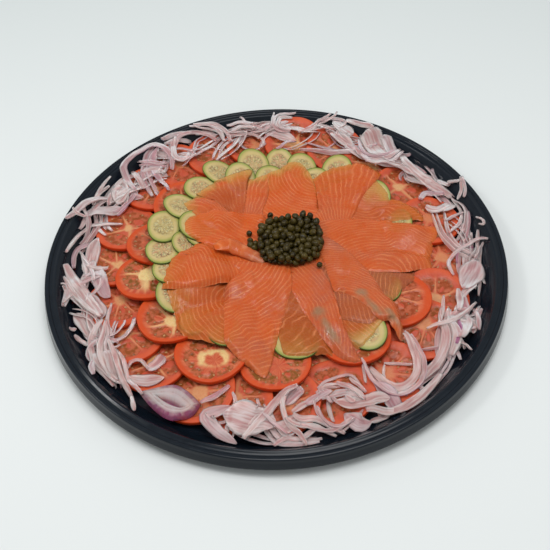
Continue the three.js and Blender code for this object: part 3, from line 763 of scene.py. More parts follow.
# How far a slice's middle is from its solid's, where not (0, 2).
CUCUMBER_SHIFTS = {
    "cucumber_01": (0, 5), "cucumber_02": (-1, 4), "cucumber_04": (1, -8), "cucumber_05": (1, -7), "cucumber_06": (0, -5),
    "cucumber_07": (0, -5), "cucumber_09": (-1, 6), "cucumber_10": (0, 4), "cucumber_13": (2, 8),
}
# Slices cut more aslant: how much larger they are, and how oval, where not 0.07.
CUCUMBER_OVALS = {
    "cucumber_01": (1.1, 0.07), "cucumber_02": (1.12, -0.1), "cucumber_05": (1.07, 0.14), "cucumber_06": (1.11, 0.15), "cucumber_07": (1.1, 0.15),
    "cucumber_09": (1.02, 0.12),
}
# Slices that only peep out: the middle as seen on a level 22 mm up, and the radius.
TUCKED_CUCUMBERS = [
    ((9, 122), 17.5), ((-33, 105), 18.0), ((-1.5, 106), 18.0), ((47, 100), 18.0), ((126, 32), 14.5), ((-86, 8.5), 16.0),
    ((-73, 24), 17.0), ((-78, 43.5), 19.5), ((-76, -78), 17.0), ((-50, -93), 17.0), ((103, -46), 18.0),
]


def cucumber_material(looks):
    # Fresh cucumber, knife cut: watery pale flesh, glassy cells of seed gel, thin dark rind.
    material = bpy.data.materials.new("cut_cucumber")
    material.use_nodes = True
    tree = material.node_tree
    shader = tree.nodes["Principled BSDF"]
    where = add(tree, "ShaderNodeTexCoord")
    polar = add(tree, "ShaderNodeAttribute", attribute_name="polar")
    names = ("rind", "pulp", "under_rind", "vein", "tone")
    layers = {n: add(tree, "ShaderNodeAttribute", attribute_name=n).outputs["Fac"] for n in names}
    fine = add(tree, "ShaderNodeTexNoise", {"Vector": where.outputs["Object"], "Scale": per(2.0), "Detail": 3.0})
    broad = add(tree, "ShaderNodeTexNoise", {"Vector": where.outputs["Object"], "Scale": per(10), "Detail": 2.0})
    cells = add(tree, "ShaderNodeTexVoronoi", {"Vector": polar.outputs["Vector"], "Scale": 1.0}, feature="DISTANCE_TO_EDGE")
    seeds = add(tree, "ShaderNodeTexVoronoi", {"Vector": polar.outputs["Vector"], "Scale": 1.0}, feature="F1")
    flesh = add(tree, "ShaderNodeMix", {0: broad.outputs["Fac"], 6: linear("#b49f60"), 7: linear(looks.cucumber_flesh)}, data_type="RGBA")
    juicy = add(tree, "ShaderNodeMix", {0: layers["tone"], 6: linear("#b0a068"), 7: linear("#bb8e68")}, data_type="RGBA")
    body = add(tree, "ShaderNodeMapRange", {0: seeds.outputs["Distance"], 1: 0.18, 2: 0.5, 3: 1.0, 4: 0.0})
    pulp = add(tree, "ShaderNodeMix", {0: body.outputs[0], 6: juicy.outputs[2], 7: linear("#c6ba86")}, data_type="RGBA")
    edge = add(tree, "ShaderNodeMapRange", {0: cells.outputs["Distance"], 1: 0.03, 2: 0.13, 3: 0.75, 4: 0.0})
    clump = add(tree, "ShaderNodeMapRange", {0: broad.outputs["Fac"], 1: 0.46, 2: 0.62, 3: 0.05, 4: 1.0})
    edge = add(tree, "ShaderNodeMath", {0: edge.outputs[0], 1: clump.outputs[0]}, operation="MULTIPLY")
    pulp = add(tree, "ShaderNodeMix", {0: edge.outputs[0], 6: pulp.outputs[2], 7: linear("#4a3d24")}, data_type="RGBA")
    mixed = add(tree, "ShaderNodeMix", {0: layers["pulp"], 6: flesh.outputs[2], 7: pulp.outputs[2]}, data_type="RGBA")
    mixed = add(tree, "ShaderNodeMix", {0: layers["vein"], 6: mixed.outputs[2], 7: linear("#8c8650")}, data_type="RGBA")
    mixed = add(tree, "ShaderNodeMix", {0: layers["under_rind"], 6: mixed.outputs[2], 7: linear("#84913c")}, data_type="RGBA")
    mixed = add(tree, "ShaderNodeMix", {0: layers["rind"], 6: mixed.outputs[2], 7: linear(looks.cucumber_rind)}, data_type="RGBA")
    tree.links.new(mixed.outputs[2], shader.inputs["Base Color"])
    bump = add(tree, "ShaderNodeBump", {"Strength": 0.35, "Distance": 0.0004, "Height": fine.outputs["Fac"]})
    tree.links.new(bump.outputs[0], shader.inputs["Normal"])
    shader.inputs["Roughness"].default_value = 0.3
    shader.inputs["IOR"].default_value = 1.36
    shader.inputs["Specular IOR Level"].default_value = 0.4
    shader.inputs["Subsurface Weight"].default_value = 0.25
    shader.inputs["Subsurface Radius"].default_value = (0.003, 0.0028, 0.001)
    shader.inputs["Subsurface Scale"].default_value = 1.0
    return material


def cucumber_slice(name, middle, radius, base, material, seeds, stands_for=()):
    number = sum(map(ord, name))
    draw = np.random.default_rng(number)
    sides = 84
    turn = np.linspace(0, 2 * math.pi, sides, endpoint=False)
    # Cut a little aslant, so each is longer one way.
    larger, aslant = CUCUMBER_OVALS.get(name, (1.0, 0.07))
    heading = math.radians(90 if aslant < 0.1 else 108)
    oval = larger * (1 + aslant * np.cos(2 * (turn - heading + draw.uniform(-0.3, 0.3))))
    reach = radius * (0.985 + 0.01 * wobble(turn, 3, number, 1.2)) * oval
    middle = np.array(middle, float)
    outline = middle + (reach * np.stack([np.cos(turn), np.sin(turn)])).T
    sheet = Sheet(outline, 420, base)
    shares = np.array([0.08, 0.16, 0.23, 0.3, 0.36, 0.42, 0.48, 0.54, 0.6, 0.66, 0.73, 0.8, 0.86, 0.9, 0.93, 0.955, 0.975])
    rho = np.repeat(shares[:, None], sides, 1)
    theta = np.repeat(turn[None], len(shares), 0)
    lobes = theta - draw.uniform(0, 6.28)
    edge = 0.6 + 0.04 * np.cos(3 * lobes) + 0.02 * value_noise(theta * 4, rho * 5, 1.0, number)
    pulp = ease(edge + 0.04, edge - 0.05, rho)
    ring = np.exp(-(((rho - edge) / 0.03) ** 2)) * 0.3
    rays = np.exp(-((np.sin(1.5 * lobes) * rho / 0.045) ** 2)) * ease(0.6, 0.45, rho) * 0.4
    vein = np.clip(ring + rays, 0, 1)
    under_rind = np.exp(-(((rho - 0.93) / 0.11) ** 2)) * 0.8
    xs = middle[0] + rho * reach * np.cos(theta)
    ys = middle[1] + rho * reach * np.sin(theta)
    relief = -0.22 * pulp * ease(0.0, 0.5, value_noise(xs, ys, 2.2, number)) + 0.05 * value_noise(xs, ys, 2, number)
    zs = sheet.at(xs, ys) + CUCUMBER_THICK - 0.2 + relief

    def rim(share, drop):
        x = middle[0] + share * reach * np.cos(turn)
        y = middle[1] + share * reach * np.sin(turn)
        return np.stack([x, y, sheet.at(x, y) + CUCUMBER_THICK - 0.12 - drop], 1)

    down = [rim(0.992, 0.08), rim(1.0, 0.35), rim(1.002, 0.9), rim(0.998, 1.4), rim(0.985, 1.7), rim(0.4, 1.75)]
    top = np.stack([xs, ys, zs], 2).reshape(-1, 3)
    centre = [[*middle, sheet.at(*middle) + CUCUMBER_THICK - 0.2]]
    foot = [[*middle, sheet.at(*middle) + 0.05]]
    vertices = np.concatenate([centre, top, *down, foot])
    faces = [group[:, ::-1] for group in ring_faces(len(shares) + len(down), sides, True, True)]
    rest = len(down) * sides + 1
    # Seed cells run outward, about 1.6 mm wide and 4 mm long.
    polar = np.stack([3.6 * np.cos(theta), 3.6 * np.sin(theta), rho * radius / 4.2 + number], 2).reshape(-1, 3)
    layers = {
        "rind": np.concatenate([[0], ease(0.945, 0.968, rho).ravel(), np.repeat([1, 1, 1, 1, 1, 0], sides), [0]]),
        "pulp": np.concatenate([[1], pulp.ravel(), np.zeros(rest)]),
        "vein": np.concatenate([[0.2], vein.ravel(), np.zeros(rest)]),
        "under_rind": np.concatenate([[0], under_rind.ravel(), np.zeros(rest)]),
        "tone": np.full(len(vertices), draw.uniform(0.1, 0.9)),
        "polar": np.concatenate([[[0, 0, number]], polar, np.zeros((rest, 3))]),
    }
    make_piece(name + "_slice", vertices, faces, material, layers, stands_for)
    far = np.hypot(sheet.x - middle[0], sheet.y - middle[1])
    sheet.lay(CUCUMBER_THICK - 0.2, np.where(far > radius - 2.0, ON_RIND, ON_CUCUMBER).astype(np.int8))
    first = draw.uniform(0, 6.28)
    for sector in range(3):
        for row, count in ((0.28, 2), (0.46, 4)):
            for i in range(count):
                a = first + sector * 2.094 + (i + 0.5) / count * 1.7 - 0.85 + draw.uniform(-0.08, 0.08)
                r = radius * (row + draw.uniform(-0.03, 0.03))
                spot = middle + r * np.array([math.cos(a), math.sin(a)])
                z = sheet.at(*spot) + CUCUMBER_THICK - 0.5
                seeds.append((spin("Z", a + math.pi + draw.uniform(-0.3, 0.3)) * draw.uniform(3.2, 4.6), [*spot, z]))


def resting_plane(middle, radius):
    """The tilt of a stiff disc that lets its middle lie lowest on the pile."""
    steps = np.arange(-radius, radius + 1, 2.0)
    x, y = np.meshgrid(steps, steps)
    keep = np.hypot(x, y) <= radius
    x, y = x[keep], y[keep]
    under = look_up(heights, middle[0] + x, middle[1] + y)
    lift, a, b = min(
        ((under - a * x - b * y).max(), a, b)
        for a in np.linspace(-0.36, 0.36, 13)
        for b in np.linspace(-0.36, 0.36, 13)
        if math.hypot(a, b) < 0.38
    )
    return lambda px, py: lift + a * (px - middle[0]) + b * (py - middle[1]) - 0.05


class PLATTER_OT_cucumbers(bpy.types.Operator):
    """Lays the ring of cucumber slices and those tucked under the salmon"""

    bl_idname = "platter.cucumbers"
    bl_label = "Cucumbers"

    def execute(self, context):
        material = cucumber_material(context.scene.platter_vegetables)
        seeds = []

        def tuck(numbers):
            for i in numbers:
                (x, y), radius = TUCKED_CUCUMBERS[i]
                middle = np.array(landed(np.array(float(x)), np.array(float(y)), 2.0, 4, 22.0))
                cucumber_slice(f"cucumber_tucked_{i + 1:02d}", middle, radius, resting_plane(middle, radius), material, seeds)

        # The first lies below the ring, the others on it.
        tuck([0])
        for name in sorted(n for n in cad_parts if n.startswith("cucumber")):
            points = solid_points(name)
            low, high = points.min(0), points.max(0)
            middle, radius = (low[:2] + high[:2]) / 2, (high - low)[:2].max() / 2
            flat = bent_plane(points, CUCUMBER_THICK, order=1)
            tilt, row = 0.1, middle[1]
            base = lambda x, y: flat(x, y) + tilt * (y - row)
            shift = np.array(CUCUMBER_SHIFTS.get(name, (0, 2)), float)
            cucumber_slice(name, middle + shift, radius, base, material, seeds, [name])
        tuck(range(1, len(TUCKED_CUCUMBERS)))
        # Unripe cucumber seeds: glassy cream husks.
        husk = bpy.data.materials.new("cucumber_seed_husk")
        husk.use_nodes = True
        tree = husk.node_tree
        shader = tree.nodes["Principled BSDF"]
        where = add(tree, "ShaderNodeTexCoord")
        spot = add(tree, "ShaderNodeTexNoise", {"Vector": where.outputs["Object"], "Scale": per(2.5)})
        tone = add(tree, "ShaderNodeMix", {0: spot.outputs["Fac"], 6: linear("#86764a"), 7: linear("#c0b27e")}, data_type="RGBA")
        tree.links.new(tone.outputs[2], shader.inputs["Base Color"])
        shader.inputs["Roughness"].default_value = 0.25
        points, faces = many(*seed_shape(), seeds)
        make_piece("cucumber_seeds", points, faces, husk)
        return {"FINISHED"}


# ---------------------------------------------------------------- salmon


# One row for each slice, from the lowest up. The edges are drawn as seen from the front at the camera's
# height, on a level 30 mm up: right and left run from the inner end out, tip across the outer end.
# grain: arcs about a middle or a fan from it, their spacing (a fan's at 60 from it), and a stretch.
# brown and mauve shade the flesh; clear is how much shows through near the outer end, and how far in.
SALMON = {
    "salmon_01": dict(
        right=[(44, 6), (80, 18), (112, 30), (130, 36), (150, 32)], left=[(26, 40), (66, 70), (88, 90), (109, 94)],
        tip=[(152, 35), (148, 47), (139, 57), (128, 60), (120, 58), (119, 66), (117, 80)],
        grain=("arc", (120, 150), 4.2, 1.0), brown=0.3, mauve=0.3, clear=(0.85, 30)),
    "salmon_02": dict(
        right=[(-12, -26), (-8, -72), (2, -114)], left=[(44, -34), (48, -78), (47, -132)],
        tip=[(4, -124), (12, -127), (23, -127), (38, -128)],
        grain=("fan", (-70, -190), 5.0, 1.0), brown=0.75, mauve=0.7, clear=(0.4, 24)),
    "salmon_03": dict(
        right=[(-28, -2), (-66, -26), (-104, -43)], left=[(-22, -50), (-36, -80), (-47, -112)],
        tip=[(-99, -62), (-95, -75), (-94, -87), (-88, -97), (-83, -102), (-76, -106), (-68, -107), (-57, -111)],
        grain=("arc", (-30, -64), 5.2, 1.0), brown=0.35, mauve=0.15, clear=(0.4, 20)),
    # Its strong brown and mauve darken the slice: partly its own duller tone, partly painted shade over its top-left.
    "salmon_04": dict(
        right=[(26, -14), (44, -50), (57, -87)], left=[(66, -12), (104, -28), (133, -34)],
        tip=[(67, -90), (78, -93), (87, -93), (96, -84), (108, -68), (117, -58), (122, -50.5), (132, -43)],
        grain=("arc", (190, -66), 4.6, 1.0), brown=0.6, mauve=2.1, clear=(0.45, 14)),
    "salmon_05": dict(
        right=[(-12, 24), (-45, 22), (-76, 15), (-84, 9), (-97, -2), (-102, -6)], left=[(6, -22), (-48, -42), (-76, -42.5), (-109, -43)],
        tip=[(-104.5, -14), (-107, -28)],
        grain=("arc", (-118, -42), 4.3, 1.0), brown=0.12, mauve=0.1, clear=(0.2, 12)),
    "salmon_06": dict(
        right=[(32, 18), (46, 48), (47, 60), (46, 82), (43, 99)], left=[(-14, 40), (-12, 60), (-9, 85), (-4, 112)],
        tip=[(40, 112), (31, 127), (19, 126), (10, 118)],
        grain=("arc", (50, 105), 4.6, 1.0), brown=0.05, mauve=0.12, clear=(0.85, 18)),
    "salmon_07": dict(
        right=[(-8, 38), (-12, 54), (-8, 66), (-3, 84), (-5, 97), (-1, 111)], left=[(-40, 42), (-58, 44), (-74, 50), (-86, 60), (-92, 72)],
        tip=[(-83, 80), (-75, 89), (-66, 98), (-53, 106), (-40, 114), (-28, 118), (-14, 116)],
        grain=("fan", (-30, 21), 5.3, 1.0), brown=0.05, mauve=0.45, clear=(0.85, 15)),
    "salmon_08": dict(
        right=[(-8, 51), (-30, 55), (-51, 57), (-76, 56)], left=[(-12, -6), (-30, -4), (-45, 0), (-58, 4.5), (-68, 12), (-78, 19)],
        tip=[(-84, 51), (-90.5, 45), (-89, 33), (-84, 24)],
        grain=("arc", (-84, 2), 3.6, 1.9), brown=0.0, mauve=0.1, clear=(0.25, 10)),
    "salmon_09": dict(
        right=[(52, 14), (80, 41), (87, 57), (96, 76), (107, 90), (116, 101)], left=[(20, 36), (47, 48), (46.5, 70), (45, 92), (43, 100)],
        tip=[(113, 108), (104, 115), (90, 118), (70, 118), (56, 111)],
        grain=("fan", (64, -1), 4.6, 1.0), brown=0.1, mauve=0.3, clear=(0.5, 12)),
    "salmon_10": dict(
        right=[(38, -18), (70, -27), (92, -31), (120, -34), (150, -31)], left=[(30, 42), (49, 38.5), (64, 41), (91, 41), (112, 34), (138, 29), (163, 24)],
        tip=[(151, -20), (153, -9), (157, 4), (162, 14)],
        grain=("arc", (100, -38), 4.2, 1.25), brown=0.08, mauve=0.35, clear=(0.3, 10)),
    "salmon_11": dict(
        right=[(12, -12), (14, -30), (13, -48), (17, -58), (22, -74), (30, -86), (38, -105), (44.5, -118), (51, -129.5), (60, -136)],
        left=[(36, -10), (39, -17), (44.5, -24), (49.5, -39.5), (54, -53), (56, -62), (58, -85), (61, -99.5), (67, -120), (73, -136)],
        tip=[(68, -138.5)],
        grain=("arc", (-78, -106), 4.2, 1.0), brown=0.08, mauve=0.75, clear=(0.15, 10)),
    "salmon_12": dict(
        right=[(-42, -14.5), (-32, -25.5), (-48, -39), (-49.5, -56), (-50, -78), (-49.5, -111), (-35.6, -128), (-25.6, -139)],
        left=[(14, -14), (15, -44), (12, -56), (6.7, -78), (0, -102), (-4.5, -122), (-7, -134)],
        tip=[(-13, -150)], inner=[(-36, -10), (-17, -13)],
        grain=("arc", (-64, 0), 5.3, 1.0), brown=0.06, mauve=0.5, clear=(0.2, 45)),
    "salmon_13": dict(
        right=[(38, 8), (44, -6), (48, -23), (52, -42), (54, -53), (62, -54), (69, -59), (78, -66), (84.5, -74), (89, -84), (95, -92), (101, -95), (102, -104), (106, -114)],
        left=[(48, 18), (56, 13), (67, 3), (78, -11.7), (84.5, -23), (92, -36), (97, -47), (102, -60.5), (109, -73), (112, -87), (112, -108)],
        tip=[(110, -118)],
        grain=("arc", (53, -95), 3.5, 1.0), brown=0.14, mauve=0.75, clear=(0.1, 10)),
}
# Slices under others that only show in part, and the slice that each goes in before.
HIDDEN_SALMON = {
    "salmon_04": dict(
        right=[(40, -60), (50, -92), (61, -127)], left=[(95, -70), (98, -80), (99, -90)],
        tip=[(68, -124), (75, -119), (82, -111), (87, -104), (92, -97)],
        grain=("arc", (150, -20), 4.6, 1.0), brown=0.6, mauve=0.5, clear=(1.0, 15)),
}
# Bloodline patches: middle, half length, half width, heading in degrees.
GREY_PATCHES = [((80, -59), 7, 4.5, -35), ((90, -76), 13, 3.5, -60), ((38, -81), 7, 5.5, -60), ((47, -104), 20, 3.5, -66), ((104, -96), 18, 3, -70)]
# Folds where a slice doubles up: slice, from, to, half width, height.
FOLDS = [
    ("salmon_10", (100, -13), (152, -23), 4.5, 1.7), ("salmon_12", (-27, -28), (-24, -44), 4.5, 1.3),
    ("salmon_11", (43, -79), (55, -64), 2.5, 0.9), ("salmon_01", (98, 42), (140, 50), 4, 1.6), ("salmon_13", (58, -50), (84, -68), 3.5, 0.8),
]
# The rolled lower edge of one slice: its middle line and half width.
ROLL = [(-60, 9, 5.0), (-52, 9.5, 8.0), (-44, 8.5, 8.6), (-36, 5.5, 8.2), (-28, 1, 7.4), (-21, -4, 6.6), (-15, -8, 6.0), (-10, -11, 5.0)]


def salmon_material(looks):
    # Cold smoked salmon, long sliced: oily translucent flesh with pale fat lines.
    material = bpy.data.materials.new("cold_smoked_salmon")
    material.use_nodes = True
    tree = material.node_tree
    shader = tree.nodes["Principled BSDF"]
    where = add(tree, "ShaderNodeTexCoord")
    names = ("grain", "brown", "mauve", "green", "rindline", "grey", "thin")
    layers = {n: add(tree, "ShaderNodeAttribute", attribute_name=n).outputs["Fac"] for n in names}
    broad = add(tree, "ShaderNodeTexNoise", {"Vector": where.outputs["Object"], "Scale": per(18), "Detail": 2.0})
    cloud = add(tree, "ShaderNodeTexNoise", {"Vector": where.outputs["Object"], "Scale": per(16), "Detail": 5.0})
    mottle = add(tree, "ShaderNodeMapRange", {0: cloud.outputs["Fac"], 1: 0.36, 2: 0.64, 3: 0.0, 4: 1.0})
    fine = add(tree, "ShaderNodeTexNoise", {"Vector": where.outputs["Object"], "Scale": per(2.6), "Detail": 4.0})
    patch = add(tree, "ShaderNodeTexNoise", {"Vector": where.outputs["Object"], "Scale": per(13), "Detail": 1.0})
    bend = add(tree, "ShaderNodeMath", {0: broad.outputs["Fac"], 1: 1.4, 2: layers["grain"]}, operation="MULTIPLY_ADD")
    bend = add(tree, "ShaderNodeMath", {0: fine.outputs["Fac"], 1: 0.16, 2: bend.outputs[0]}, operation="MULTIPLY_ADD")
    wave = add(tree, "ShaderNodeMath", {0: bend.outputs[0], 1: 0.5}, operation="PINGPONG")
    line = add(tree, "ShaderNodeMapRange", {0: wave.outputs[0], 1: 0.0, 2: 0.2, 3: 1.0, 4: 0.0}, interpolation_type="SMOOTHSTEP")
    # Each band of muscle deepens away from its line.
    deep = add(tree, "ShaderNodeMapRange", {0: wave.outputs[0], 1: 0.05, 2: 0.5, 3: 0.0, 4: 0.55})
    # Fainter, finer lines between.
    twice = add(tree, "ShaderNodeMath", {0: bend.outputs[0], 1: 2.37}, operation="MULTIPLY")
    ripple = add(tree, "ShaderNodeMath", {0: twice.outputs[0], 1: 0.5}, operation="PINGPONG")
    faint = add(tree, "ShaderNodeMapRange", {0: ripple.outputs[0], 1: 0.0, 2: 0.25, 3: 0.2, 4: 0.0}, interpolation_type="SMOOTHSTEP")
    strong = add(tree, "ShaderNodeMapRange", {0: patch.outputs["Fac"], 1: 0.36, 2: 0.64, 3: 0.06, 4: 0.5})
    both = add(tree, "ShaderNodeMath", {0: line.outputs[0], 1: faint.outputs[0]}, operation="MAXIMUM")
    lines = add(tree, "ShaderNodeMath", {0: both.outputs[0], 1: strong.outputs[0]}, operation="MULTIPLY")
    flesh = add(tree, "ShaderNodeMix", {0: mottle.outputs[0], 6: linear(looks.flesh), 7: linear("#d2713f")}, data_type="RGBA")
    flesh = add(tree, "ShaderNodeMix", {0: fine.outputs["Fac"], 6: flesh.outputs[2], 7: linear("#bf5220")}, data_type="RGBA")
    flesh = add(tree, "ShaderNodeMix", {0: deep.outputs[0], 6: flesh.outputs[2], 7: linear("#c04a14")}, data_type="RGBA")
    # Mauve patches dull the flesh: its own tone, and on salmon_04 also painted shade.
    dull = add(tree, "ShaderNodeMath", {0: layers["mauve"], 1: patch.outputs["Fac"]}, operation="MULTIPLY")
    flesh = add(tree, "ShaderNodeMix", {0: layers["thin"], 6: flesh.outputs[2], 7: linear("#c8681f")}, data_type="RGBA")
    flesh = add(tree, "ShaderNodeMix", {0: dull.outputs[0], 6: flesh.outputs[2], 7: linear("#9c5646")}, data_type="RGBA")
    flesh = add(tree, "ShaderNodeMix", {0: layers["brown"], 6: flesh.outputs[2], 7: linear("#964818")}, data_type="RGBA")
    green = add(tree, "ShaderNodeMix", {0: layers["thin"], 6: linear("#9c6e28"), 7: linear("#b8914e")}, data_type="RGBA")
    flesh = add(tree, "ShaderNodeMix", {0: layers["green"], 6: flesh.outputs[2], 7: green.outputs[2]}, data_type="RGBA")
    flesh = add(tree, "ShaderNodeMix", {0: layers["rindline"], 6: flesh.outputs[2], 7: linear("#6d5a22")}, data_type="RGBA")
    mixed = add(tree, "ShaderNodeMix", {0: lines.outputs[0], 6: flesh.outputs[2], 7: linear(looks.fat)}, data_type="RGBA")
    mixed = add(tree, "ShaderNodeMix", {0: layers["grey"], 6: mixed.outputs[2], 7: linear("#8a7458")}, data_type="RGBA")
    tree.links.new(mixed.outputs[2], shader.inputs["Base Color"])
    relief = add(tree, "ShaderNodeMath", {0: fine.outputs["Fac"], 1: 0.6, 2: lines.outputs[0]}, operation="MULTIPLY_ADD")
    bump = add(tree, "ShaderNodeBump", {"Strength": 0.35, "Distance": 0.0007, "Height": relief.outputs[0]})
    tree.links.new(bump.outputs[0], shader.inputs["Normal"])
    wet = add(tree, "ShaderNodeMapRange", {0: fine.outputs["Fac"], 1: 0.38, 2: 0.62, 3: 0.07, 4: 0.42})
    tree.links.new(wet.outputs[0], shader.inputs["Roughness"])
    shader.inputs["IOR"].default_value = 1.42
    shader.inputs["Specular IOR Level"].default_value = 0.28
    shader.inputs["Subsurface Weight"].default_value = 0.2
    shader.inputs["Subsurface Radius"].default_value = (0.0035, 0.0012, 0.0005)
    shader.inputs["Subsurface Scale"].default_value = 1.0
    return material


def along_curve(points, shares):
    """Places at shares of the length of a line through points, its corners cut smooth."""
    points = np.array(points, float)
    for _ in range(2 if len(points) > 2 else 0):
        cut = [points[0]]
        for a, b in zip(points, points[1:]):
            cut += [0.78 * a + 0.22 * b, 0.22 * a + 0.78 * b]
        points = np.array(cut + [points[-1]])
    steps = np.concatenate([[0], np.cumsum(np.hypot(*np.diff(points, axis=0).T))])
    at = np.asarray(shares) * steps[-1]
    return np.stack([np.interp(at, steps, points[:, k]) for k in (0, 1)], 1)


def grain_of(kind, middle, spacing, stretch, x, y):
    dx, dy = (x - middle[0]) / stretch, y - middle[1]
    if kind == "fan":
        return np.arctan2(dy, dx) * 72 / spacing
    return np.hypot(dx, dy) * 1.2 / spacing


def spanned(row, rows, columns):
    """A grid of places that fills the slice's four edges."""
    s, t = np.linspace(0, 1, rows), np.linspace(0, 1, columns)
    right, left = along_curve(row["right"], s), along_curve(row["left"], s)
    inner = along_curve([row["right"][0], *row.get("inner", []), row["left"][0]], t)
    outer = along_curve([row["right"][-1], *row["tip"], row["left"][-1]], t)
    s, t = s[:, None, None], t[None, :, None]
    across = (1 - t) * right[:, None] + t * left[:, None]
    along = (1 - s) * inner[None] + s * outer[None]
    flat = (1 - s) * ((1 - t) * right[0] + t * left[0]) + s * ((1 - t) * right[-1] + t * left[-1])
    return across + along - flat


def salmon_slice(name, row, material, thick, number, stands_for=()):
    start = (np.array(row["right"][0], float) + row["left"][0]) / 2
    end = (np.array(row["right"][-1], float) + row["left"][-1]) / 2
    length = np.hypot(*(end - start))
    ahead = (end - start) / length
    draft = spanned(row, 30, 24)
    breadth = np.hypot(*(draft[:, 0] - draft[:, -1]).T).max()
    rows, columns = int(length / 1.2) + 1, int(breadth / 1.3) + 1
    seen = spanned(row, rows, columns)
    s, t = np.linspace(0, 1, rows), np.linspace(0, 1, columns)
    plan = np.stack(landed(seen[..., 0], seen[..., 1], thick, 4), -1)
    # Ragged edges, more at the outer end than along the sides.
    side = np.array([-ahead[1], ahead[0]])
    widths = np.hypot(*(plan[:, 0] - plan[:, -1]).T)[:, None]
    to_side = np.minimum(t, 1 - t)[None] * widths
    toward = np.where(t < 0.5, -1.0, 1.0)
    notch = 0.35 * value_noise(plan[..., 0], plan[..., 1], 2.2, number) + 0.6 * value_noise(plan[..., 0], plan[..., 1], 7, number + 9)
    plan = plan + (notch * 0.8 * np.clip(1 - to_side / 5, 0, 1) * toward[None])[..., None] * side
    near_end = np.maximum(1 - (1 - s) * length / 7, 0)[:, None]
    fringe = 0.8 * value_noise(plan[..., 0], plan[..., 1], 2.1, number + 20) + 1.0 * value_noise(plan[..., 0], plan[..., 1], 6, number + 30)
    plan = plan + (fringe * 1.0 * near_end)[..., None] * ahead
    outline = np.concatenate([plan[:, 0], plan[-1, 1:], plan[-2::-1, -1], plan[0, -2:0:-1]])
    sheet = Sheet(outline, 34, passes=4, gap=0.05)
    x, y = plan[..., 0], plan[..., 1]
    to_end = np.minimum(s, 1 - s)[:, None] * length
    edge = np.minimum(to_end, to_side)
    feather = np.sqrt(1 - (1 - np.clip(edge / 3.2, 0, 1)) ** 2)
    swell = 0.3 * value_noise(x, y, 15, number + 3) + 0.1 * value_noise(x, y, 5, number + 4)
    full = thick * (0.82 + 0.2 * ease(0, 14, edge)) * feather + swell * feather
    for slice_name, (x0, y0), (x1, y1), half, rise in FOLDS:
        if slice_name != name:
            continue
        run = np.array([x1 - x0, y1 - y0])
        reach = np.hypot(*run)
        run = run / reach
        p = (seen[..., 0] - x0) * run[0] + (seen[..., 1] - y0) * run[1]
        q = -(seen[..., 0] - x0) * run[1] + (seen[..., 1] - y0) * run[0]
        full = full + rise * np.exp(-((q / half) ** 4)) * ease(-4, 4, p) * ease(reach + 4, reach - 4, p) * feather
    # The limp border sinks to what it lies on.
    ground = sheet.at(x, y, soften(heights[sheet.rows, sheet.columns], 2)) + 0.1
    low = sheet.at(x, y)
    low = low + np.clip(ground - low, -3.0, 0) * ease(7, 0.5, edge)
    upper = np.stack([x, y, low + full], 2).reshape(-1, 3)
    lower = np.stack([x, y, low], 2).reshape(-1, 3)
    count = rows * columns
    i, j = np.meshgrid(np.arange(rows - 1), np.arange(columns - 1), indexing="ij")
    a = (i * columns + j).ravel()
    top = np.stack([a, a + columns, a + columns + 1, a + 1], 1)
    bottom = top[:, ::-1] + count
    border = np.concatenate([
        np.arange(rows) * columns,
        (rows - 1) * columns + np.arange(1, columns),
        np.arange(rows - 2, -1, -1) * columns + columns - 1,
        np.arange(columns - 2, 0, -1),
    ])
    after = np.roll(border, -1)
    rim = np.stack([after, border, border + count, after + count], 1)
    strength, depth = row["clear"]
    from_end = (1 - s)[:, None] * length
    free = np.minimum(from_end, to_side + 4 + 0.35 * from_end)
    thin = ease(depth, 0, free + 0.25 * depth * value_noise(x, y, 9, number + 50))
    green = sheet.at(x, y, soften((sheet.was == ON_CUCUMBER) * 1.0 + (sheet.was == ON_RIND) * 0.8, 2))
    rindline = sheet.at(x, y, soften((sheet.was == ON_RIND) * 1.0, 1))
    grey = np.zeros_like(x)
    for (px, py), long, wide, heading in GREY_PATCHES if number >= 11 else ():
        h = math.radians(heading)
        p = (seen[..., 0] - px) * math.cos(h) + (seen[..., 1] - py) * math.sin(h)
        q = -(seen[..., 0] - px) * math.sin(h) + (seen[..., 1] - py) * math.cos(h)
        grey = np.maximum(grey, ease(1.5, 0.2, np.hypot(p / long, q / wide) + 0.25 * value_noise(x, y, 4, 5)))
    see_through = np.clip(0.12 + strength * thin, 0, 0.95)
    layers = {
        "grain": grain_of(*row["grain"], seen[..., 0], seen[..., 1]).ravel(),
        "brown": np.full(count, row["brown"]),
        "mauve": (row["mauve"] * (0.6 + 0.8 * ease(-0.4, 0.6, value_noise(x, y, 22, number + 60)))).ravel(),
        "green": (green * see_through * 0.85).ravel(),
        "rindline": (rindline * see_through * 0.55).ravel(),
        "grey": (grey * 0.75).ravel(),
        "thin": (thin * min(1, strength + 0.2)).ravel(),
    }
    layers = {key: np.tile(values, 2) for key, values in layers.items()}
    points, faces = np.concatenate([upper, lower]), [top, bottom, rim]
    if name == "salmon_08":
        points, faces, layers = with_roll(points, faces, layers, sheet, thick)
    made = make_piece(name + "_slice", points, faces, material, layers, stands_for)
    sheet.lay(thick, ON_SALMON)
    return made


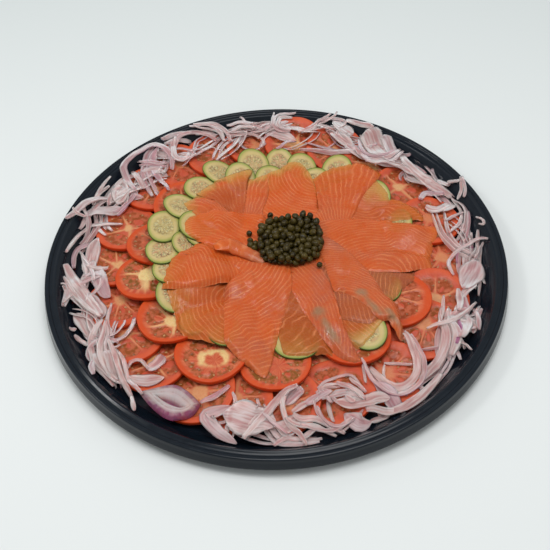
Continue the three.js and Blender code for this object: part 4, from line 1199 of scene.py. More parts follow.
def with_roll(points, faces, layers, sheet, thick):
    """Adds the edge that is rolled under itself, as a flattened tube along ROLL."""
    line = np.array(ROLL, float)
    s = np.linspace(0, 1, 60)
    way = along_curve(line[:, :2], s)
    half = np.interp(s, np.linspace(0, 1, len(line)), line[:, 2]) + 0.35 * value_noise(s * 60, s * 0, 6, 3)
    x, y = landed(way[:, 0], way[:, 1], 4.0, 3)
    rest = sheet.at(x, y) + thick * 0.3
    run = np.gradient(np.stack([x, y], 1), axis=0)
    run /= np.hypot(*run.T)[:, None]
    side = np.stack([-run[:, 1], run[:, 0]], 1)
    sides = 20
    turn = np.linspace(0, 2 * math.pi, sides, endpoint=False)
    c, d = np.cos(turn), np.sin(turn)
    high = half * np.interp(s, [0, 0.3, 1], [0.12, 0.5, 0.5])
    centre = np.stack([x, y, rest + high * 0.45], 1)
    ring = centre[:, None] + np.concatenate([side, np.zeros((60, 1))], 1)[:, None] * (half[:, None] * c)[..., None]
    ring[..., 2] += high[:, None] * d
    extra = np.concatenate([[centre[0]], ring.reshape(-1, 3), [centre[-1]]])
    groups = [group[:, ::-1] + len(points) for group in ring_faces(60, sides, True, True)]
    count = len(extra)
    grain = np.concatenate([[0], np.repeat(s * 4, sides), [4]])
    pale = np.concatenate([[0], np.repeat(s, sides), [1]])
    values = {"grain": grain, "brown": np.zeros(count), "mauve": pale * 0.9, "green": np.zeros(count)}
    values |= {"rindline": np.zeros(count), "grey": pale**3 * 0.3, "thin": np.full(count, 0.2)}
    layers = {key: np.concatenate([layers[key], values[key]]) for key in layers}
    return np.concatenate([points, extra]), faces + groups, layers


class PLATTER_OT_salmon(bpy.types.Operator):
    """Drapes the salmon slices one over another"""

    bl_idname = "platter.salmon"
    bl_label = "Salmon"

    def execute(self, context):
        looks = context.scene.platter_salmon
        material = salmon_material(looks)
        for name, row in SALMON.items():
            number = int(name[-2:])
            if name in HIDDEN_SALMON:
                salmon_slice(name + "_under", HIDDEN_SALMON[name], material, looks.thick * 0.8, number + 20)
            salmon_slice(name, row, material, looks.thick, number, [name])
        return {"FINISHED"}


# ---------------------------------------------------------------- capers


STRAY_CAPERS = [(-25, 30), (-3, 56), (-24, 13), (-20, 9), (-24, 20), (-19, 15), (43, -17)]

HEAP_SHIFT, HEAP_SHARE = np.array([6.0, 4.0]), np.array([0.86, 0.93])


def caper_material(looks):
    # Brined capers: olive skin, waxy and wet, mottled where the sepals close.
    material = bpy.data.materials.new("brined_caper")
    material.use_nodes = True
    tree = material.node_tree
    shader = tree.nodes["Principled BSDF"]
    where = add(tree, "ShaderNodeTexCoord")
    tone = add(tree, "ShaderNodeAttribute", attribute_name="tone").outputs["Fac"]
    fine = add(tree, "ShaderNodeTexNoise", {"Vector": where.outputs["Object"], "Scale": per(2.2), "Detail": 4.0})
    base = add(tree, "ShaderNodeMix", {0: tone, 6: linear("#100b04"), 7: linear("#463a14")}, data_type="RGBA")
    speck = add(tree, "ShaderNodeMapRange", {0: fine.outputs["Fac"], 1: 0.45, 2: 0.75, 3: 0.0, 4: 0.6})
    base = add(tree, "ShaderNodeMix", {0: speck.outputs[0], 6: base.outputs[2], 7: linear("#6e5f24")}, data_type="RGBA")
    base = add(tree, "ShaderNodeMix", {0: 0.25, 6: base.outputs[2], 7: linear(looks.olive)}, data_type="RGBA")
    tree.links.new(base.outputs[2], shader.inputs["Base Color"])
    bump = add(tree, "ShaderNodeBump", {"Strength": 0.4, "Distance": 0.0004, "Height": fine.outputs["Fac"]})
    tree.links.new(bump.outputs[0], shader.inputs["Normal"])
    shader.inputs["Roughness"].default_value = 0.26
    shader.inputs["IOR"].default_value = 1.4
    shader.inputs["Specular IOR Level"].default_value = 0.3
    return material


def bud_shape():
    """A caper bud about 1 in radius: a ball with a blunt tip and four closed sepals."""
    sides = 16
    turn = np.linspace(0, 2 * math.pi, sides, endpoint=False)
    rings = []
    for lat in np.linspace(-80, 78, 10):
        phi = math.radians(lat)
        r = math.cos(phi) * (1 + 0.05 * np.cos(4 * turn) * (1 if lat > 0 else 0.3) + 0.03 * np.cos(7 * turn + lat))
        z = math.sin(phi) * (1.12 if lat > 0 else 0.96)
        rings.append(np.stack([r * np.cos(turn), r * np.sin(turn), np.full(sides, z)], 1))
    points = np.concatenate([[[0, 0, -0.97]], *rings, [[0, 0, 1.16]]])
    return points, ring_faces(len(rings), sides, True, True)


def heaped(count, radius):
    """Balls let down into a squarish heap and eased apart: middles and radii."""
    low, high = solid_points("capers").min(0), solid_points("capers").max(0)
    middle, half = (low[:2] + high[:2]) / 2 + HEAP_SHIFT, (high - low)[:2] / 2 * HEAP_SHARE - radius
    r = radius * rng.uniform(0.72, 1.16, count)
    spots = middle + rng.uniform(-1, 1, (count, 2)) * half * 0.9
    balls = np.column_stack([spots, 34 + 22 * rng.random(count)])
    for _ in range(320):
        balls[:, 2] -= 0.35
        for _ in range(3):
            gap = balls[:, None] - balls[None]
            far = np.sqrt((gap**2).sum(2)) + np.eye(count) * 99
            deep = np.clip(0.97 * (r[:, None] + r[None]) - far, 0, None)
            balls += (gap / far[..., None] * deep[..., None]).sum(1) * 0.35
            share = ((np.abs((balls[:, :2] - middle) / half)) ** 3.2).sum(1) ** (1 / 3.2)
            over = np.maximum(share, 1)[:, None]
            balls[:, :2] = middle + (balls[:, :2] - middle) / over
            floor = np.max([look_up(heights, balls[:, 0] + dx, balls[:, 1] + dy) for dx, dy in ((0, 0), (1.5, 0), (-1.5, 0), (0, 1.5), (0, -1.5))], 0)
            balls[:, 2] = np.maximum(balls[:, 2], floor + r * 0.98)
    return balls, r


class PLATTER_OT_capers(bpy.types.Operator):
    """Heaps the capers in the middle"""

    bl_idname = "platter.capers"
    bl_label = "Capers"

    def execute(self, context):
        looks = context.scene.platter_capers
        balls, radii = heaped(looks.count, looks.radius)
        for x, y in STRAY_CAPERS:
            r = looks.radius * rng.uniform(0.85, 1.0)
            balls = np.vstack([balls, [x, y, float(look_up(heights, x, y)) + r * 0.97]])
            radii = np.append(radii, r)
        places = []
        for ball, r in zip(balls, radii):
            turn = spin("Z", rng.uniform(0, 6.28)) @ spin("X", rng.uniform(0, 3.14)) @ spin("Z", rng.uniform(0, 6.28))
            stretch = np.diag([1, rng.uniform(0.78, 1.02), rng.uniform(0.9, 1.28)])
            places.append((turn @ stretch * r, ball))
        template, faces = bud_shape()
        points, groups = many(template, faces, places)
        tone = np.repeat(rng.uniform(0, 1, len(places)), len(template))
        material = caper_material(looks)
        make_piece("caper_heap", points, groups, material, {"tone": tone}, ["capers"])
        return {"FINISHED"}


# ---------------------------------------------------------------- onion


# Shreds that stand out: their middle line as seen on a level 22 mm up, width of one strip, how many lie
# side by side, how cupped they are, and how purple.
SHREDS = [
    ([(108, 176), (114, 154), (122, 134)], 26, 1, 0.25, 0.3), ([(126, 168), (130, 150), (133, 134)], 15, 1, 0.2, 0.4),
    ([(72, 196), (84, 184), (92, 172)], 17, 1, 0.1, 0.1), ([(177, -52), (188, -37), (197, -20)], 24, 1, 0.2, 0.2), ([(-45, 188), (-32, 199), (-15, 192)], 7, 2, 0, 0.2),
    ([(-118, 172), (-100, 183), (-84, 178)], 8, 2, 0, 0.3), ([(-88, 190), (-72, 194), (-58, 184)], 8, 2, 0, 0.25),
    ([(55, 195), (64, 203), (78, 202), (86, 198), (85, 191), (78, 187)], 4.5, 1, 0, 0.4), ([(33, 174), (55, 194), (76, 214)], 4.5, 2, 0, 0.1),
    ([(33, 207), (16, 209), (8, 202), (6, 194), (12, 185), (28, 177)], 5, 2, 0, 0.3), ([(-105, 180), (-110, 162), (-103, 148), (-90, 144), (-82, 152)], 6, 1, 0, 0.3),
    ([(-31, -205), (-18, -188), (-5, -171)], 5, 1, 0, 0.2), ([(171, -35), (167, -20), (174, -9), (188, 2), (200, 7), (212, 9)], 4.5, 1, 0, 0.3),
    ([(182, 71), (195, 50), (191, 28), (179, 13)], 5.5, 2, 0, 0.3), ([(199, 48), (197, 30), (190, 10)], 4, 1, 0, 0.5),
    ([(198, 97), (200, 80), (195, 61)], 4, 2, 0, 0.5), ([(137, 107), (160, 96), (184, 77)], 9, 2, 0.1, 0.05), ([(120, 130), (140, 116), (166, 98)], 8, 1, 0.1, 0.1),
    ([(95, 150), (104, 136), (117, 130), (130, 134), (141, 143)], 6, 1, 0, 0.7), ([(-205, 55), (-190, 75), (-172, 90)], 7, 2, 0, 0.2),
    ([(-160, 90), (-166, 104), (-158, 120), (-146, 124)], 7, 1, 0.1, 0.2),
    ([(-107, 130), (-107, 150), (-119, 165), (-134, 168), (-149, 160), (-159, 146), (-160, 132), (-154, 115), (-145, 101)], 8.5, 1, 0, 0.5),
    ([(-39, -174), (-58, -175), (-66, -181), (-59, -195), (-39, -207)], 13, 1, 0.05, 0.25), ([(-50, -180), (-28, -186), (-5, -194)], 34, 1, 0.08, 0.15),
    ([(-186, 76), (-187, 88), (-181, 99), (-172, 105)], 4.5, 1, 0, 0.1),
    ([(-170, 76), (-170, 90), (-165, 101), (-159, 105)], 7, 1, 0.1, 0.2), ([(-193, 61), (-178, 69), (-155, 75)], 13, 1, 0.1, 0.3),
    ([(-161, 64), (-153, 74), (-150, 80)], 4, 1, 0, 1.3), ([(-208, 15), (-199, 36), (-187, 49), (-173, 55), (-155, 54)], 5.5, 1, 0, 0),
    ([(-208, 77), (-202, 67), (-191, 57)], 4.5, 1, 0, 0), ([(-198, -6), (-200, 11), (-195, 21), (-182, 27)], 6.5, 1, 0, 0.7),
    ([(-192, 15), (-186, 1), (-181, -16), (-181, -32)], 6, 2, 0, 0.2), ([(-186, -3), (-174, -6), (-164, -7)], 5.5, 1, 0, 0),
    ([(-192, -62), (-182, -73), (-173, -91)], 14, 1, 0.1, 0.1), ([(-194, -79), (-186, -84)], 4, 1, 0, 0), ([(-188, -88), (-182, -95), (-173, -101)], 4.5, 1, 0, 0),
    ([(-204, -50), (-194, -44)], 2, 1, 0, 0), ([(-206, -3), (-194, -28), (-177, -49), (-165, -67)], 12, 1, 0.1, 0),
    ([(-207, -15), (-194, -41), (-181, -55), (-166, -68)], 5, 1, 0, 0),
    ([(-164, -71), (-170, -83), (-172, -98), (-169, -114), (-162, -127), (-153, -136), (-147, -145)], 7, 1, 0, 0),
    ([(-160, -73), (-161, -86), (-164, -100), (-161, -116), (-154, -130), (-144, -141)], 6, 1, 0, 0),
    ([(-160, -73), (-157, -87), (-159, -99), (-156, -113)], 3, 1, 0, 0.2), ([(-156, -96), (-149, -111), (-145, -125), (-139, -142), (-130, -159)], 6, 1, 0, 0.05),
    ([(-145, -110), (-139, -122), (-135, -140), (-126, -153), (-120, -159)], 4.5, 1, 0, 0.1), ([(-136, -128), (-133, -120), (-125, -119), (-118, -128)], 4, 1, 0, 0.1),
    ([(-135, -135), (-120, -141), (-103, -138)], 13, 1, 0.1, 0.5), ([(-118, -130), (-111, -124), (-105, -115)], 12, 1, 0.2, 0.25),
    ([(-130, -159), (-127, -172)], 4.5, 1, 0, 0), ([(2, -171), (10, -163), (19, -156)], 12, 1, 0.1, 0.45), ([(-33, -206), (-17, -185), (-6, -172), (5, -160), (15, -155)], 7.5, 1, 0.05, 0.05),
    ([(6, -158), (0, -172), (3, -186), (10, -198), (20, -212)], 5.5, 1, 0, 0), ([(-16, -180), (-7, -192), (4, -203)], 4, 1, 0, 0.5),
    ([(7, -181), (15, -189), (29, -195), (49, -204)], 7, 2, 0, 0.1), ([(-8, -210), (3, -204), (12, -208), (29, -199)], 5.5, 1, 0, 0.1),
    ([(9, -179), (19, -173), (31, -167)], 7, 1, 0.3, 0), ([(28, -169), (30, -184), (37, -196), (49, -201), (59, -195)], 3.2, 1, 0, 0.7),
    ([(31, -176), (34, -190), (43, -197), (54, -196), (65, -187), (70, -180)], 3.6, 1, 0, 0.4), ([(40, -168), (41, -180), (44, -192)], 4, 1, 0, 0),
    ([(32, -157), (43, -148), (53, -144), (64, -143), (70, -155)], 3.2, 1, 0, 0.6), ([(32, -163), (41, -155), (53, -153)], 3.2, 2, 0, 0.4),
    ([(43, -172), (49, -163), (57, -161), (59, -169)], 3, 1, 0, 0.5), ([(58, -154), (64, -163), (61, -172)], 9, 1, 0.1, 0.5), ([(74, -134), (75, -154)], 3, 1, 0, 0.5),
    ([(75, -191), (92, -185)], 6, 1, 0, 0.2), ([(142, -146), (131, -160), (120, -171), (104, -181), (82, -185)], 9, 1, 0.1, 0.05),
    ([(72, -182), (88, -184), (101, -182)], 8, 1, 0.1, 0), ([(35, -170), (48, -164), (61, -163), (71, -169)], 5, 1, 0, 0.4), ([(33, -158), (39, -166), (43, -174)], 4, 1, 0, 0.3), ([(49, -153), (59, -155), (68, -162), (72, -172)], 6, 1, 0, 0.35), ([(50, -173), (43, -166), (47, -161), (58, -160)], 4, 1, 0, 0.6),
    ([(56, -167), (63, -173)], 7, 1, 0, 0.3), ([(61, -148), (70, -156), (74, -164)], 4, 1, 0, 0.3), ([(21, -173), (32, -165), (44, -161)], 8, 1, 0.1, 0.4), ([(15, -193), (30, -201), (47, -199), (60, -189)], 5, 1, 0, 0.3),
    ([(46, -173), (58, -175), (74, -171), (94, -172)], 13, 1, 0.1, 0),
    ([(153, -93), (152, -111), (144, -132), (132, -145), (124, -152)], 10, 1, 0.1, 0.05), ([(158, -85), (162, -98), (162, -112), (153, -131)], 9, 1, 0.1, 0.2),
    ([(167, -89), (166, -103), (160, -117)], 5, 1, 0, 1.2), ([(174, -83), (174, -95), (165, -113)], 11, 1, 0.1, 0.3),
    ([(183, -76), (186, -87), (184, -100)], 5, 1, 0, 0.3), ([(157, -61), (154, -78), (147, -95)], 4.5, 1, 0, 0),
    ([(186, -71), (170, -85), (153, -93), (136, -98)], 4.5, 1, 0, 0.05), ([(172, -53), (172, -69), (168, -80)], 7, 1, 0.1, 0.2),
    ([(163, -116), (173, -124)], 2.5, 1, 0, 0), ([(93, -133), (105, -133), (118, -136)], 3.4, 1, 0, 0.1), ([(93, -135), (91, -145), (94, -155)], 3, 1, 0, 0.2),
    ([(114, -104), (120, -116), (123, -129), (122, -142), (117, -151), (109, -158), (99, -159), (91, -154), (85, -144), (80, -136)], 8.5, 1, 0.1, 0),
    ([(73, -130), (76, -141), (81, -152), (89, -162), (100, -167), (111, -165), (122, -157), (128, -145), (129, -130), (125, -117), (120, -105)], 5.5, 1, 0, 0.85),
    ([(-70, -168), (-58, -160), (-45, -150)], 6, 1, 0, 1),
    ([(-59, 174), (-70, 186), (-84, 188), (-98, 184), (-106, 172), (-107, 157), (-102, 144), (-96, 140), (-90, 147), (-90, 158)], 6.5, 1, 0.05, 0.3), ([(-86, 199), (-64, 196), (-50, 184), (-46, 170)], 6, 2, 0, 0.2),
    ([(-48, 181), (-29, 184), (-9, 176), (-6, 165), (-11, 156)], 4, 1, 0, 0.3), ([(-33, 209), (-25, 199), (-19, 187)], 3, 1, 0, 0.1),
    ([(6, 217), (3, 196), (-5, 186), (-19, 183)], 3.5, 1, 0, 0.1), ([(-106, 163), (-91, 161), (-75, 161)], 3, 1, 0, 0.5),
    ([(-143, 139), (-132, 142), (-121, 139), (-109, 136)], 5, 2, 0, 0.4), ([(-150, 130), (-141, 115), (-136, 103)], 7, 1, 0.1, 0.1),
    ([(87, 200), (102, 192), (116, 183)], 9, 1, 0.1, 0.0), ([(67, 179), (80, 165), (91, 152)], 14, 1, 0.15, 0.1),
    ([(92, 154), (99, 136), (113, 125), (127, 126), (143, 136)], 6, 1, 0, 0.4), ([(98, 165), (99, 145), (109, 136), (123, 137), (137, 145)], 5, 1, 0, 0.9),
    ([(141, 132), (156, 105), (172, 80), (185, 69)], 12, 1, 0.1, 0.05), ([(183, 87), (198, 94)], 4.5, 1, 0, 0),
    ([(204, 36), (212, 37), (212, 28), (205, 26)], 3, 1, 0, 0), ([(173, 37), (186, 46), (195, 47)], 3.5, 1, 0, 0.5),
    ([(153, 69), (158, 79), (170, 76), (178, 72)], 8, 1, 0.1, 0.7), ([(157, 58), (167, 53), (176, 56)], 10, 1, 0.1, 0.05),
]
# The cut end of a half onion: its lower and upper edges and the slit in it, seen on a level 18 mm up.
WEDGE_LOWER = [(-123.4, -155.9), (-118.5, -163.5), (-110.2, -173), (-100.6, -180.7), (-92.8, -184.2), (-82.1, -181.6), (-74.6, -174.8), (-70.2, -165.1)]
WEDGE_UPPER = [(-123.4, -155.9), (-116.2, -150.8), (-108.4, -147.4), (-102.3, -143.9), (-92.8, -144.4), (-81.5, -151.6), (-73.5, -159.4), (-70.2, -165.1)]
WEDGE_SLIT = [(-106, -159.8), (-95.9, -163.8), (-85, -170.6)]


def onion_material(looks):
    # Raw red onion: glassy wet layers, whiter where cut, streaked along them, a purple skin on the outer face; the skin
    # colour is also painted shade in the wedge's slit.
    material = bpy.data.materials.new("raw_red_onion")
    material.use_nodes = True
    tree = material.node_tree
    shader = tree.nodes["Principled BSDF"]
    strand = add(tree, "ShaderNodeAttribute", attribute_name="strand")
    layers = {n: add(tree, "ShaderNodeAttribute", attribute_name=n).outputs["Fac"] for n in ("skin", "tint", "edge")}
    veins = add(tree, "ShaderNodeTexNoise", {"Vector": strand.outputs["Vector"], "Scale": 1.0, "Detail": 3.0})
    streak = add(tree, "ShaderNodeMapRange", {0: veins.outputs["Fac"], 1: 0.38, 2: 0.62, 3: 0.0, 4: 1.0})
    flesh = add(tree, "ShaderNodeMix", {0: streak.outputs[0], 6: linear("#d9a8a4"), 7: linear(looks.flesh)}, data_type="RGBA")
    flesh = add(tree, "ShaderNodeMix", {0: layers["tint"], 6: flesh.outputs[2], 7: linear("#c88ca2")}, data_type="RGBA")
    flesh = add(tree, "ShaderNodeMix", {0: layers["edge"], 6: flesh.outputs[2], 7: linear("#fdf4f0")}, data_type="RGBA")
    # The skin colour also serves as painted shade at the bottom of the onion wedge's slit.
    skin = add(tree, "ShaderNodeMath", {0: veins.outputs["Fac"], 1: 1.3, 2: 0.2}, operation="MULTIPLY_ADD")
    skin = add(tree, "ShaderNodeMath", {0: layers["skin"], 1: skin.outputs[0]}, operation="MULTIPLY")
    skin = add(tree, "ShaderNodeMapRange", {0: skin.outputs[0], 1: 0.12, 2: 0.8, 3: 0.0, 4: 0.9})
    mixed = add(tree, "ShaderNodeMix", {0: skin.outputs[0], 6: flesh.outputs[2], 7: linear(looks.skin)}, data_type="RGBA")
    tree.links.new(mixed.outputs[2], shader.inputs["Base Color"])
    bump = add(tree, "ShaderNodeBump", {"Strength": 0.3, "Distance": 0.0004, "Height": veins.outputs["Fac"]})
    tree.links.new(bump.outputs[0], shader.inputs["Normal"])
    shader.inputs["Roughness"].default_value = 0.16
    shader.inputs["IOR"].default_value = 1.28
    shader.inputs["Transmission Weight"].default_value = 0.64
    shader.inputs["Subsurface Weight"].default_value = 0.3
    shader.inputs["Subsurface Radius"].default_value = (0.003, 0.002, 0.002)
    shader.inputs["Subsurface Scale"].default_value = 1.0
    return material


SECTION = 10


class ShredHeap:
    """Collects ribbons that lie on the pile one after another."""

    def __init__(self, draw):
        self.draw = draw
        self.points, self.quads = [], []
        self.layers = {"skin": [], "tint": [], "edge": [], "strand": []}
        self.count = 0

    def keep(self, points, quads, **layers):
        """Adds a closed mesh, its quads counted from its own first point."""
        self.quads.append(quads + self.count)
        self.points.append(points)
        for name, values in layers.items():
            self.layers[name].append(values)
        self.count += len(points)

    def lay(self, path, width, thick, roll, cup=0.0, purple=0.3, sink=0.6, limit=31.0, tips=0.75):
        """One ribbon along a path; roll stands it on edge, tips is how far its ends narrow."""
        draw = self.draw
        steps = len(path)
        s = np.linspace(-0.5, 0.5, steps)
        run = np.gradient(path, axis=0)
        pace = np.hypot(*run.T)
        run = run / pace[:, None]
        step = pace.mean()
        length = step * (steps - 1)
        normal = np.stack([-run[:, 1], run[:, 0]], 1)
        taper = 1 - tips * np.abs(2 * s) ** draw.uniform(2.2, 4.5)
        half = width / 2 * taper * (1 + 0.08 * np.sin(s * 9 + draw.uniform(0, 6)))
        roll = roll + draw.uniform(-0.6, 0.6) * s
        rest = np.full(steps, -99.0)
        for across in (-0.9, -0.45, 0, 0.45, 0.9):
            spot = path + normal * (across * half * np.abs(np.cos(roll)))[:, None]
            rest = np.maximum(rest, look_up(heights, spot[:, 0], spot[:, 1]))
        along = np.abs(np.arange(steps)[:, None] - np.arange(steps)[None]) * step
        rest = (rest[None] - along**2 / 60).max(1)
        rest = np.convolve(np.pad(rest, 1, mode="edge"), [0.25, 0.5, 0.25], "valid")
        stand = 0.5 * (np.abs(2 * half * np.sin(roll)) + thick * np.abs(np.cos(roll)))
        spring = draw.uniform(0, 2.5) * np.clip(np.abs(2 * s) - 0.5, 0, 1) ** 2 * 4
        z = np.minimum(rest + stand + spring, limit - stand)
        side = np.concatenate([normal, np.zeros((steps, 1))], 1)
        up = np.array([0, 0, 1.0])
        e1 = side * np.cos(roll)[:, None] + up * np.sin(roll)[:, None]
        e2 = -side * np.sin(roll)[:, None] + up * np.cos(roll)[:, None]
        c = np.array([1.0, 0.8, 0.45, -0.45, -0.8, -1.0, -0.8, -0.45, 0.45, 0.8])
        d = np.array([0.0, 0.85, 1.0, 1.0, 0.85, 0.0, -0.85, -1.0, -1.0, -0.85])
        lift = cup * half[:, None] * (c[None] ** 2 - 0.4)
        centre = np.column_stack([path, z])
        ring = centre[:, None] + e1[:, None] * (half[:, None] * c)[..., None]
        ring = ring + e2[:, None] * ((thick / 2 * (0.4 + 0.6 * taper))[:, None] * d + lift)[..., None]
        bend = run[0, 0] * run[-1, 1] - run[0, 1] * run[-1, 0]
        outer = -1.0 if bend > 0 else 1.0
        skin = np.clip((outer * c - 0.62) * 2.8, 0, 1)[None] * np.ones((steps, 1)) * purple
        skin = np.maximum(skin, np.clip(d, 0, 1)[None] * max(0, purple - 0.6))
        k = np.arange(SECTION)
        after = (k + 1) % SECTION
        quads = [np.stack([i * SECTION + k, (i + 1) * SECTION + k, (i + 1) * SECTION + after, i * SECTION + after], 1) for i in range(steps - 1)]
        caps = np.array([[0, 1, 2, 9], [2, 3, 8, 9], [3, 4, 7, 8], [4, 5, 6, 7]])
        across = (c[None] * half[:, None]) * 0.42 + d[None] * 0.6
        distance = np.repeat((s * length * 0.045)[:, None], SECTION, 1)
        edge = np.ones((steps, 1)) * np.clip(np.abs(c) * 2.2 - 1.1, 0, 1)[None] * 0.7
        self.keep(
            ring.reshape(-1, 3), np.concatenate(quads + [caps, caps[:, ::-1] + (steps - 1) * SECTION]),
            skin=skin.ravel(), tint=np.full(steps * SECTION, purple * draw.uniform(0, 0.9)), edge=edge.ravel(),
            strand=np.stack([across, distance, np.full_like(across, self.count * 0.37)], 2).reshape(-1, 3),
        )
        # What comes on top sinks in a little, as shreds nest.
        top = z + stand * 0.8
        for across in np.linspace(-1, 1, max(3, int(width / 1.2))):
            spot = path + normal * (across * half * np.abs(np.cos(roll)))[:, None]
            for f in (0.0, 0.33, 0.67):
                mid = spot[:-1] * (1 - f) + spot[1:] * f
                rows, columns = cell(mid[:, 1]), cell(mid[:, 0])
                old = heights[rows, columns]
                new = old + (np.maximum(top[:-1] * (1 - f) + top[1:] * f, old) - old) * sink
                np.maximum.at(heights, (rows, columns), new)

    def nest(self, path, width, beside, thick, roll, cup, purple, limit=31.0, tips=0.5):
        """Ribbons of one slice, side by side as its rings were."""
        draw = self.draw
        run = np.gradient(path, axis=0)
        normal = np.stack([-run[:, 1], run[:, 0]], 1) / np.hypot(*run.T)[:, None]
        steps = len(path)
        for k in range(beside):
            first = int(draw.uniform(0, 0.12) * steps) if beside > 1 else 0
            last = steps - (int(draw.uniform(0, 0.12) * steps) if beside > 1 else 0)
            off = (k - (beside - 1) / 2) * width * draw.uniform(0.75, 1.15)
            fan = np.linspace(-1, 1, steps) * draw.normal() * 2.4 * (beside > 1)
            line = (path + normal * (off + fan)[:, None])[first:last]
            wide = width * (draw.uniform(0.7, 1.15) if beside > 1 else 1.0)
            lean = roll + draw.normal() * 0.3 * (beside > 1)
            self.lay(line, wide, thick, lean, cup, purple * draw.uniform(0.6, 1.2), limit=limit, tips=tips)

    def wedge(self):
        """The cut end: layers swelling round a slit, purple skin along the lower edge, purple painted at the slit's
        bottom as shade.
        """
        half = 40
        t = np.linspace(0, 1, half, endpoint=False)
        outer = np.concatenate([along_curve(WEDGE_LOWER, t), along_curve(WEDGE_UPPER[::-1], t)])
        slit_line = along_curve(WEDGE_SLIT, t)
        open_by = 0.9 * np.sin(math.pi * t)[:, None] * np.array([-0.35, -0.94])
        slit = np.concatenate([slit_line + open_by, (slit_line - open_by)[::-1]])
        place = lambda points, lift: np.stack(landed(points[:, 0], points[:, 1], lift, 4, 18.0), 1)
        outer, slit = place(outer, 2.0), place(slit, 6.0)
        base = np.quantile(look_up(heights, outer[:, 0], outer[:, 1]), 0.6)
        shares = [0.0, 0.04, 0.12, 0.24, 0.38, 0.42, 0.52, 0.66, 0.7, 0.8, 0.9, 0.97, 1.0, 0.98, 0.9, 0.5]
        rises = [1.2, 3.6, 6.4, 8.0, 8.4, 7.6, 8.2, 7.6, 6.6, 6.4, 4.8, 3.0, 1.4, 0.0, -0.8, -1.0]
        # Skin paint for each ring: the lower edge's purple skin, and at the slit's first rings purple as painted shade
        # darkening its bottom.
        skin_and_slit_shade = [0.85, 0.5, 0, 0, 0, 0.1, 0, 0.25, 0.6, 0.8, 0.85, 0.9, 0.95, 1.0, 1.0, 1.0]
        turn = np.linspace(0, 2 * math.pi, 2 * half, endpoint=False)
        lower = np.concatenate([0.35 + 0.65 * ease(0, 0.25, t), 0.3 + 0.35 * ease(0.1, 0.5, 1 - t)])
        rings, skin, strand = [], [], []
        for share, rise, paint in zip(shares, rises, skin_and_slit_shade):
            ring = slit + (outer - slit) * share
            high = base + rise + 0.3 * np.sin(5 * turn) * (share > 0.2)
            rings.append(np.column_stack([ring, high]))
            skin.append(paint * (lower if share > 0.2 else np.ones(2 * half)) * (1 + 0.7 * value_noise(turn * 9, turn * 0, 1.0, 12) * (0.3 < share < 0.85)))
            strand.append(np.stack([6 * np.cos(turn), 6 * np.sin(turn), np.full(2 * half, share * 1.2)], 1))
        middle = slit.mean(0)
        points = np.concatenate([*rings])
        quads = ring_faces(len(rings), 2 * half)[0]
        k = np.arange(half - 1)
        close = np.stack([k, k + 1, 2 * half - 2 - k, 2 * half - 1 - k], 1)
        last = (len(rings) - 1) * 2 * half
        quads = np.concatenate([quads, close[:, ::-1], close + last])
        count = len(points)
        edge = np.repeat([0, 0.3, 0.8, 1, 0.9, 0.4, 0.9, 0.7, 0.3, 0.2, 0, 0, 0, 0, 0, 0], 2 * half)
        self.keep(points, quads[:, ::-1], skin=np.clip(np.concatenate(skin), 0, 1.3), tint=np.zeros(count), edge=edge, strand=np.concatenate(strand))
        window = inside(outer, *GROUND)
        heights[window] = np.maximum(heights, base + 6.0)[window]


GROUND = np.meshgrid(np.arange(CELLS) * CELL - REACH, np.arange(CELLS) * CELL - REACH)


def curl(at, heading, bend, length, draw):
    """A bent path about a middle, 3.4 mm a step."""
    steps = max(9, int(length / 3.4))
    s = np.linspace(-0.5, 0.5, steps)
    turn = math.radians(heading) + math.radians(bend) * s + 0.16 * np.sin(s * 8 + draw.uniform(0, 6))
    path = np.cumsum(np.stack([np.cos(turn), np.sin(turn)], 1) * length / (steps - 1), 0)
    return path + np.array(at) - path[steps // 2]


def kept_in(path, reach, least=158):
    """Draws a path in where it would leave the tray's well, and out where it would stray to the middle."""
    far = np.hypot(*path.T)
    near = least - np.clip(least - far, 0, None) * 0.35
    there = np.where(far > reach, reach + (far - reach) * 0.25, np.maximum(far, near))
    return path * (there / far)[:, None]


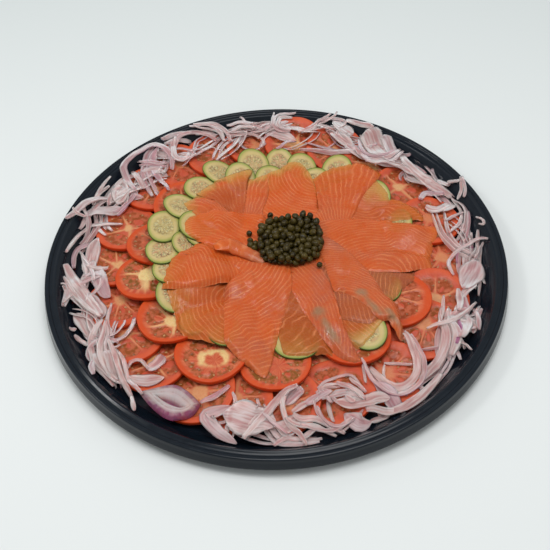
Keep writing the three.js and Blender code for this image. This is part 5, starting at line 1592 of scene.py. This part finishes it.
class PLATTER_OT_onion(bpy.types.Operator):
    """Strews the border of red onion shreds"""

    bl_idname = "platter.onion"
    bl_label = "Onion"

    def execute(self, context):
        looks = context.scene.platter_onion
        draw = np.random.default_rng(77)
        heap = ShredHeap(draw)
        for i in range(looks.count):
            turn = (i * 137.508 + draw.uniform(-14, 14)) % 360
            if i % 8 == 0:
                turn = draw.uniform(135, 265)
            a = math.radians(turn)
            far = float(np.clip(190 + draw.normal() * 9, 168, 203))
            at = (far * math.cos(a), far * math.sin(a))
            kind = draw.random()
            # Where the shreds are placed one by one, few loose bunches lie below them.
            scarce = 0.6 if 268 < turn < 342 else 0.4 if 160 < turn < 235 else 0.35 if turn < 60 or 105 < turn < 268 else 0
            reach = 205 if 120 < turn < 250 else 199
            if math.hypot(at[0] + 97, at[1] + 163) < 42 or draw.random() < scarce:
                continue
            if kind < 0.2:
                path = curl(at, turn + 90 + draw.normal() * 50, draw.uniform(-70, 70), draw.uniform(26, 48), draw)
                heap.nest(kept_in(path, reach), draw.uniform(9, 17), 1, 0.8, draw.normal() * 0.25, 0.15, draw.uniform(0, 0.6), tips=0.9)
            elif kind < 0.72:
                path = curl(at, turn + 90 + draw.normal() * 38, draw.choice([-1, 1]) * draw.uniform(20, 120), draw.uniform(48, 96), draw)
                wide, beside = draw.uniform(3.6, 7.2), int(draw.integers(2, 4))
                heap.nest(kept_in(path, reach), wide, beside, draw.uniform(0.9, 1.4), draw.normal() * 0.4, 0.05, draw.uniform(0, 0.7))
            elif kind < 0.9:
                path = curl(at, draw.uniform(0, 360), draw.uniform(-140, 140), draw.uniform(34, 72), draw)
                heap.nest(kept_in(path, reach), draw.uniform(2.4, 4.2), 1, draw.uniform(1.1, 1.6), draw.normal() * 0.8, 0, draw.uniform(0, 0.9))
            else:
                path = curl(at, draw.uniform(0, 360), draw.choice([-1, 1]) * draw.uniform(190, 320), draw.uniform(40, 62), draw)
                heap.nest(kept_in(path, reach), draw.uniform(3.6, 6.0), 1, 1.4, draw.normal() * 0.4, 0, draw.uniform(0.1, 0.7), tips=0.5)
        heap.wedge()
        for line, width, beside, cup, purple in SHREDS:
            points = np.array(line, float)
            length = np.hypot(*np.diff(points, axis=0).T).sum()
            seen = along_curve(points, np.linspace(0, 1, max(9, int(length / 3.0))))
            path = np.stack(landed(seen[:, 0], seen[:, 1], 2.0, 3, 22.0), 1)
            tips = 0.9 if width > 12 else 0.5
            heap.nest(path, width, beside, 1.0 if width > 12 else 1.9, draw.normal() * 0.1, cup, purple, limit=34.0, tips=tips)
        layers = {name: np.concatenate(values) for name, values in heap.layers.items()}
        make_piece("onion_shreds", np.concatenate(heap.points), [np.concatenate(heap.quads)], onion_material(looks), layers, ["onion"])
        return {"FINISHED"}


# ---------------------------------------------------------------- panel and registration


class PLATTER_PT_panel(bpy.types.Panel):
    """Lists the steps of the platter"""

    bl_idname = "PLATTER_PT_panel"
    bl_label = "Platter"
    bl_space_type = "VIEW_3D"
    bl_region_type = "UI"
    bl_category = "Platter"

    def draw(self, context):
        for operator in OPERATORS:
            self.layout.operator(operator.bl_idname)
        for name in SETTINGS:
            group = getattr(context.scene, name)
            box = self.layout.box()
            for key in group.bl_rna.properties.keys():
                if key not in ("rna_type", "name"):
                    box.prop(group, key)


SETTINGS = {
    "platter_stage": StageLooks,
    "platter_tray": TrayLooks,
    "platter_vegetables": VegetableLooks,
    "platter_salmon": SalmonLooks,
    "platter_capers": CaperLooks,
    "platter_onion": OnionLooks,
}
OPERATORS = (
    PLATTER_OT_stage,
    PLATTER_OT_tray,
    PLATTER_OT_tomatoes,
    PLATTER_OT_bed,
    PLATTER_OT_cucumbers,
    PLATTER_OT_salmon,
    PLATTER_OT_capers,
    PLATTER_OT_onion,
)


def register():
    for kind in (*SETTINGS.values(), *OPERATORS, PLATTER_PT_panel):
        bpy.utils.register_class(kind)
    for name, kind in SETTINGS.items():
        setattr(bpy.types.Scene, name, PointerProperty(type=kind))


def unregister():
    for name in SETTINGS:
        delattr(bpy.types.Scene, name)
    for kind in reversed((*SETTINGS.values(), *OPERATORS, PLATTER_PT_panel)):
        bpy.utils.unregister_class(kind)


def main():
    register()
    for operator in OPERATORS:
        group, name = operator.bl_idname.split(".")
        getattr(getattr(bpy.ops, group), name)()
    bpy.context.view_layer.update()


if __name__ == "__main__":
    main()
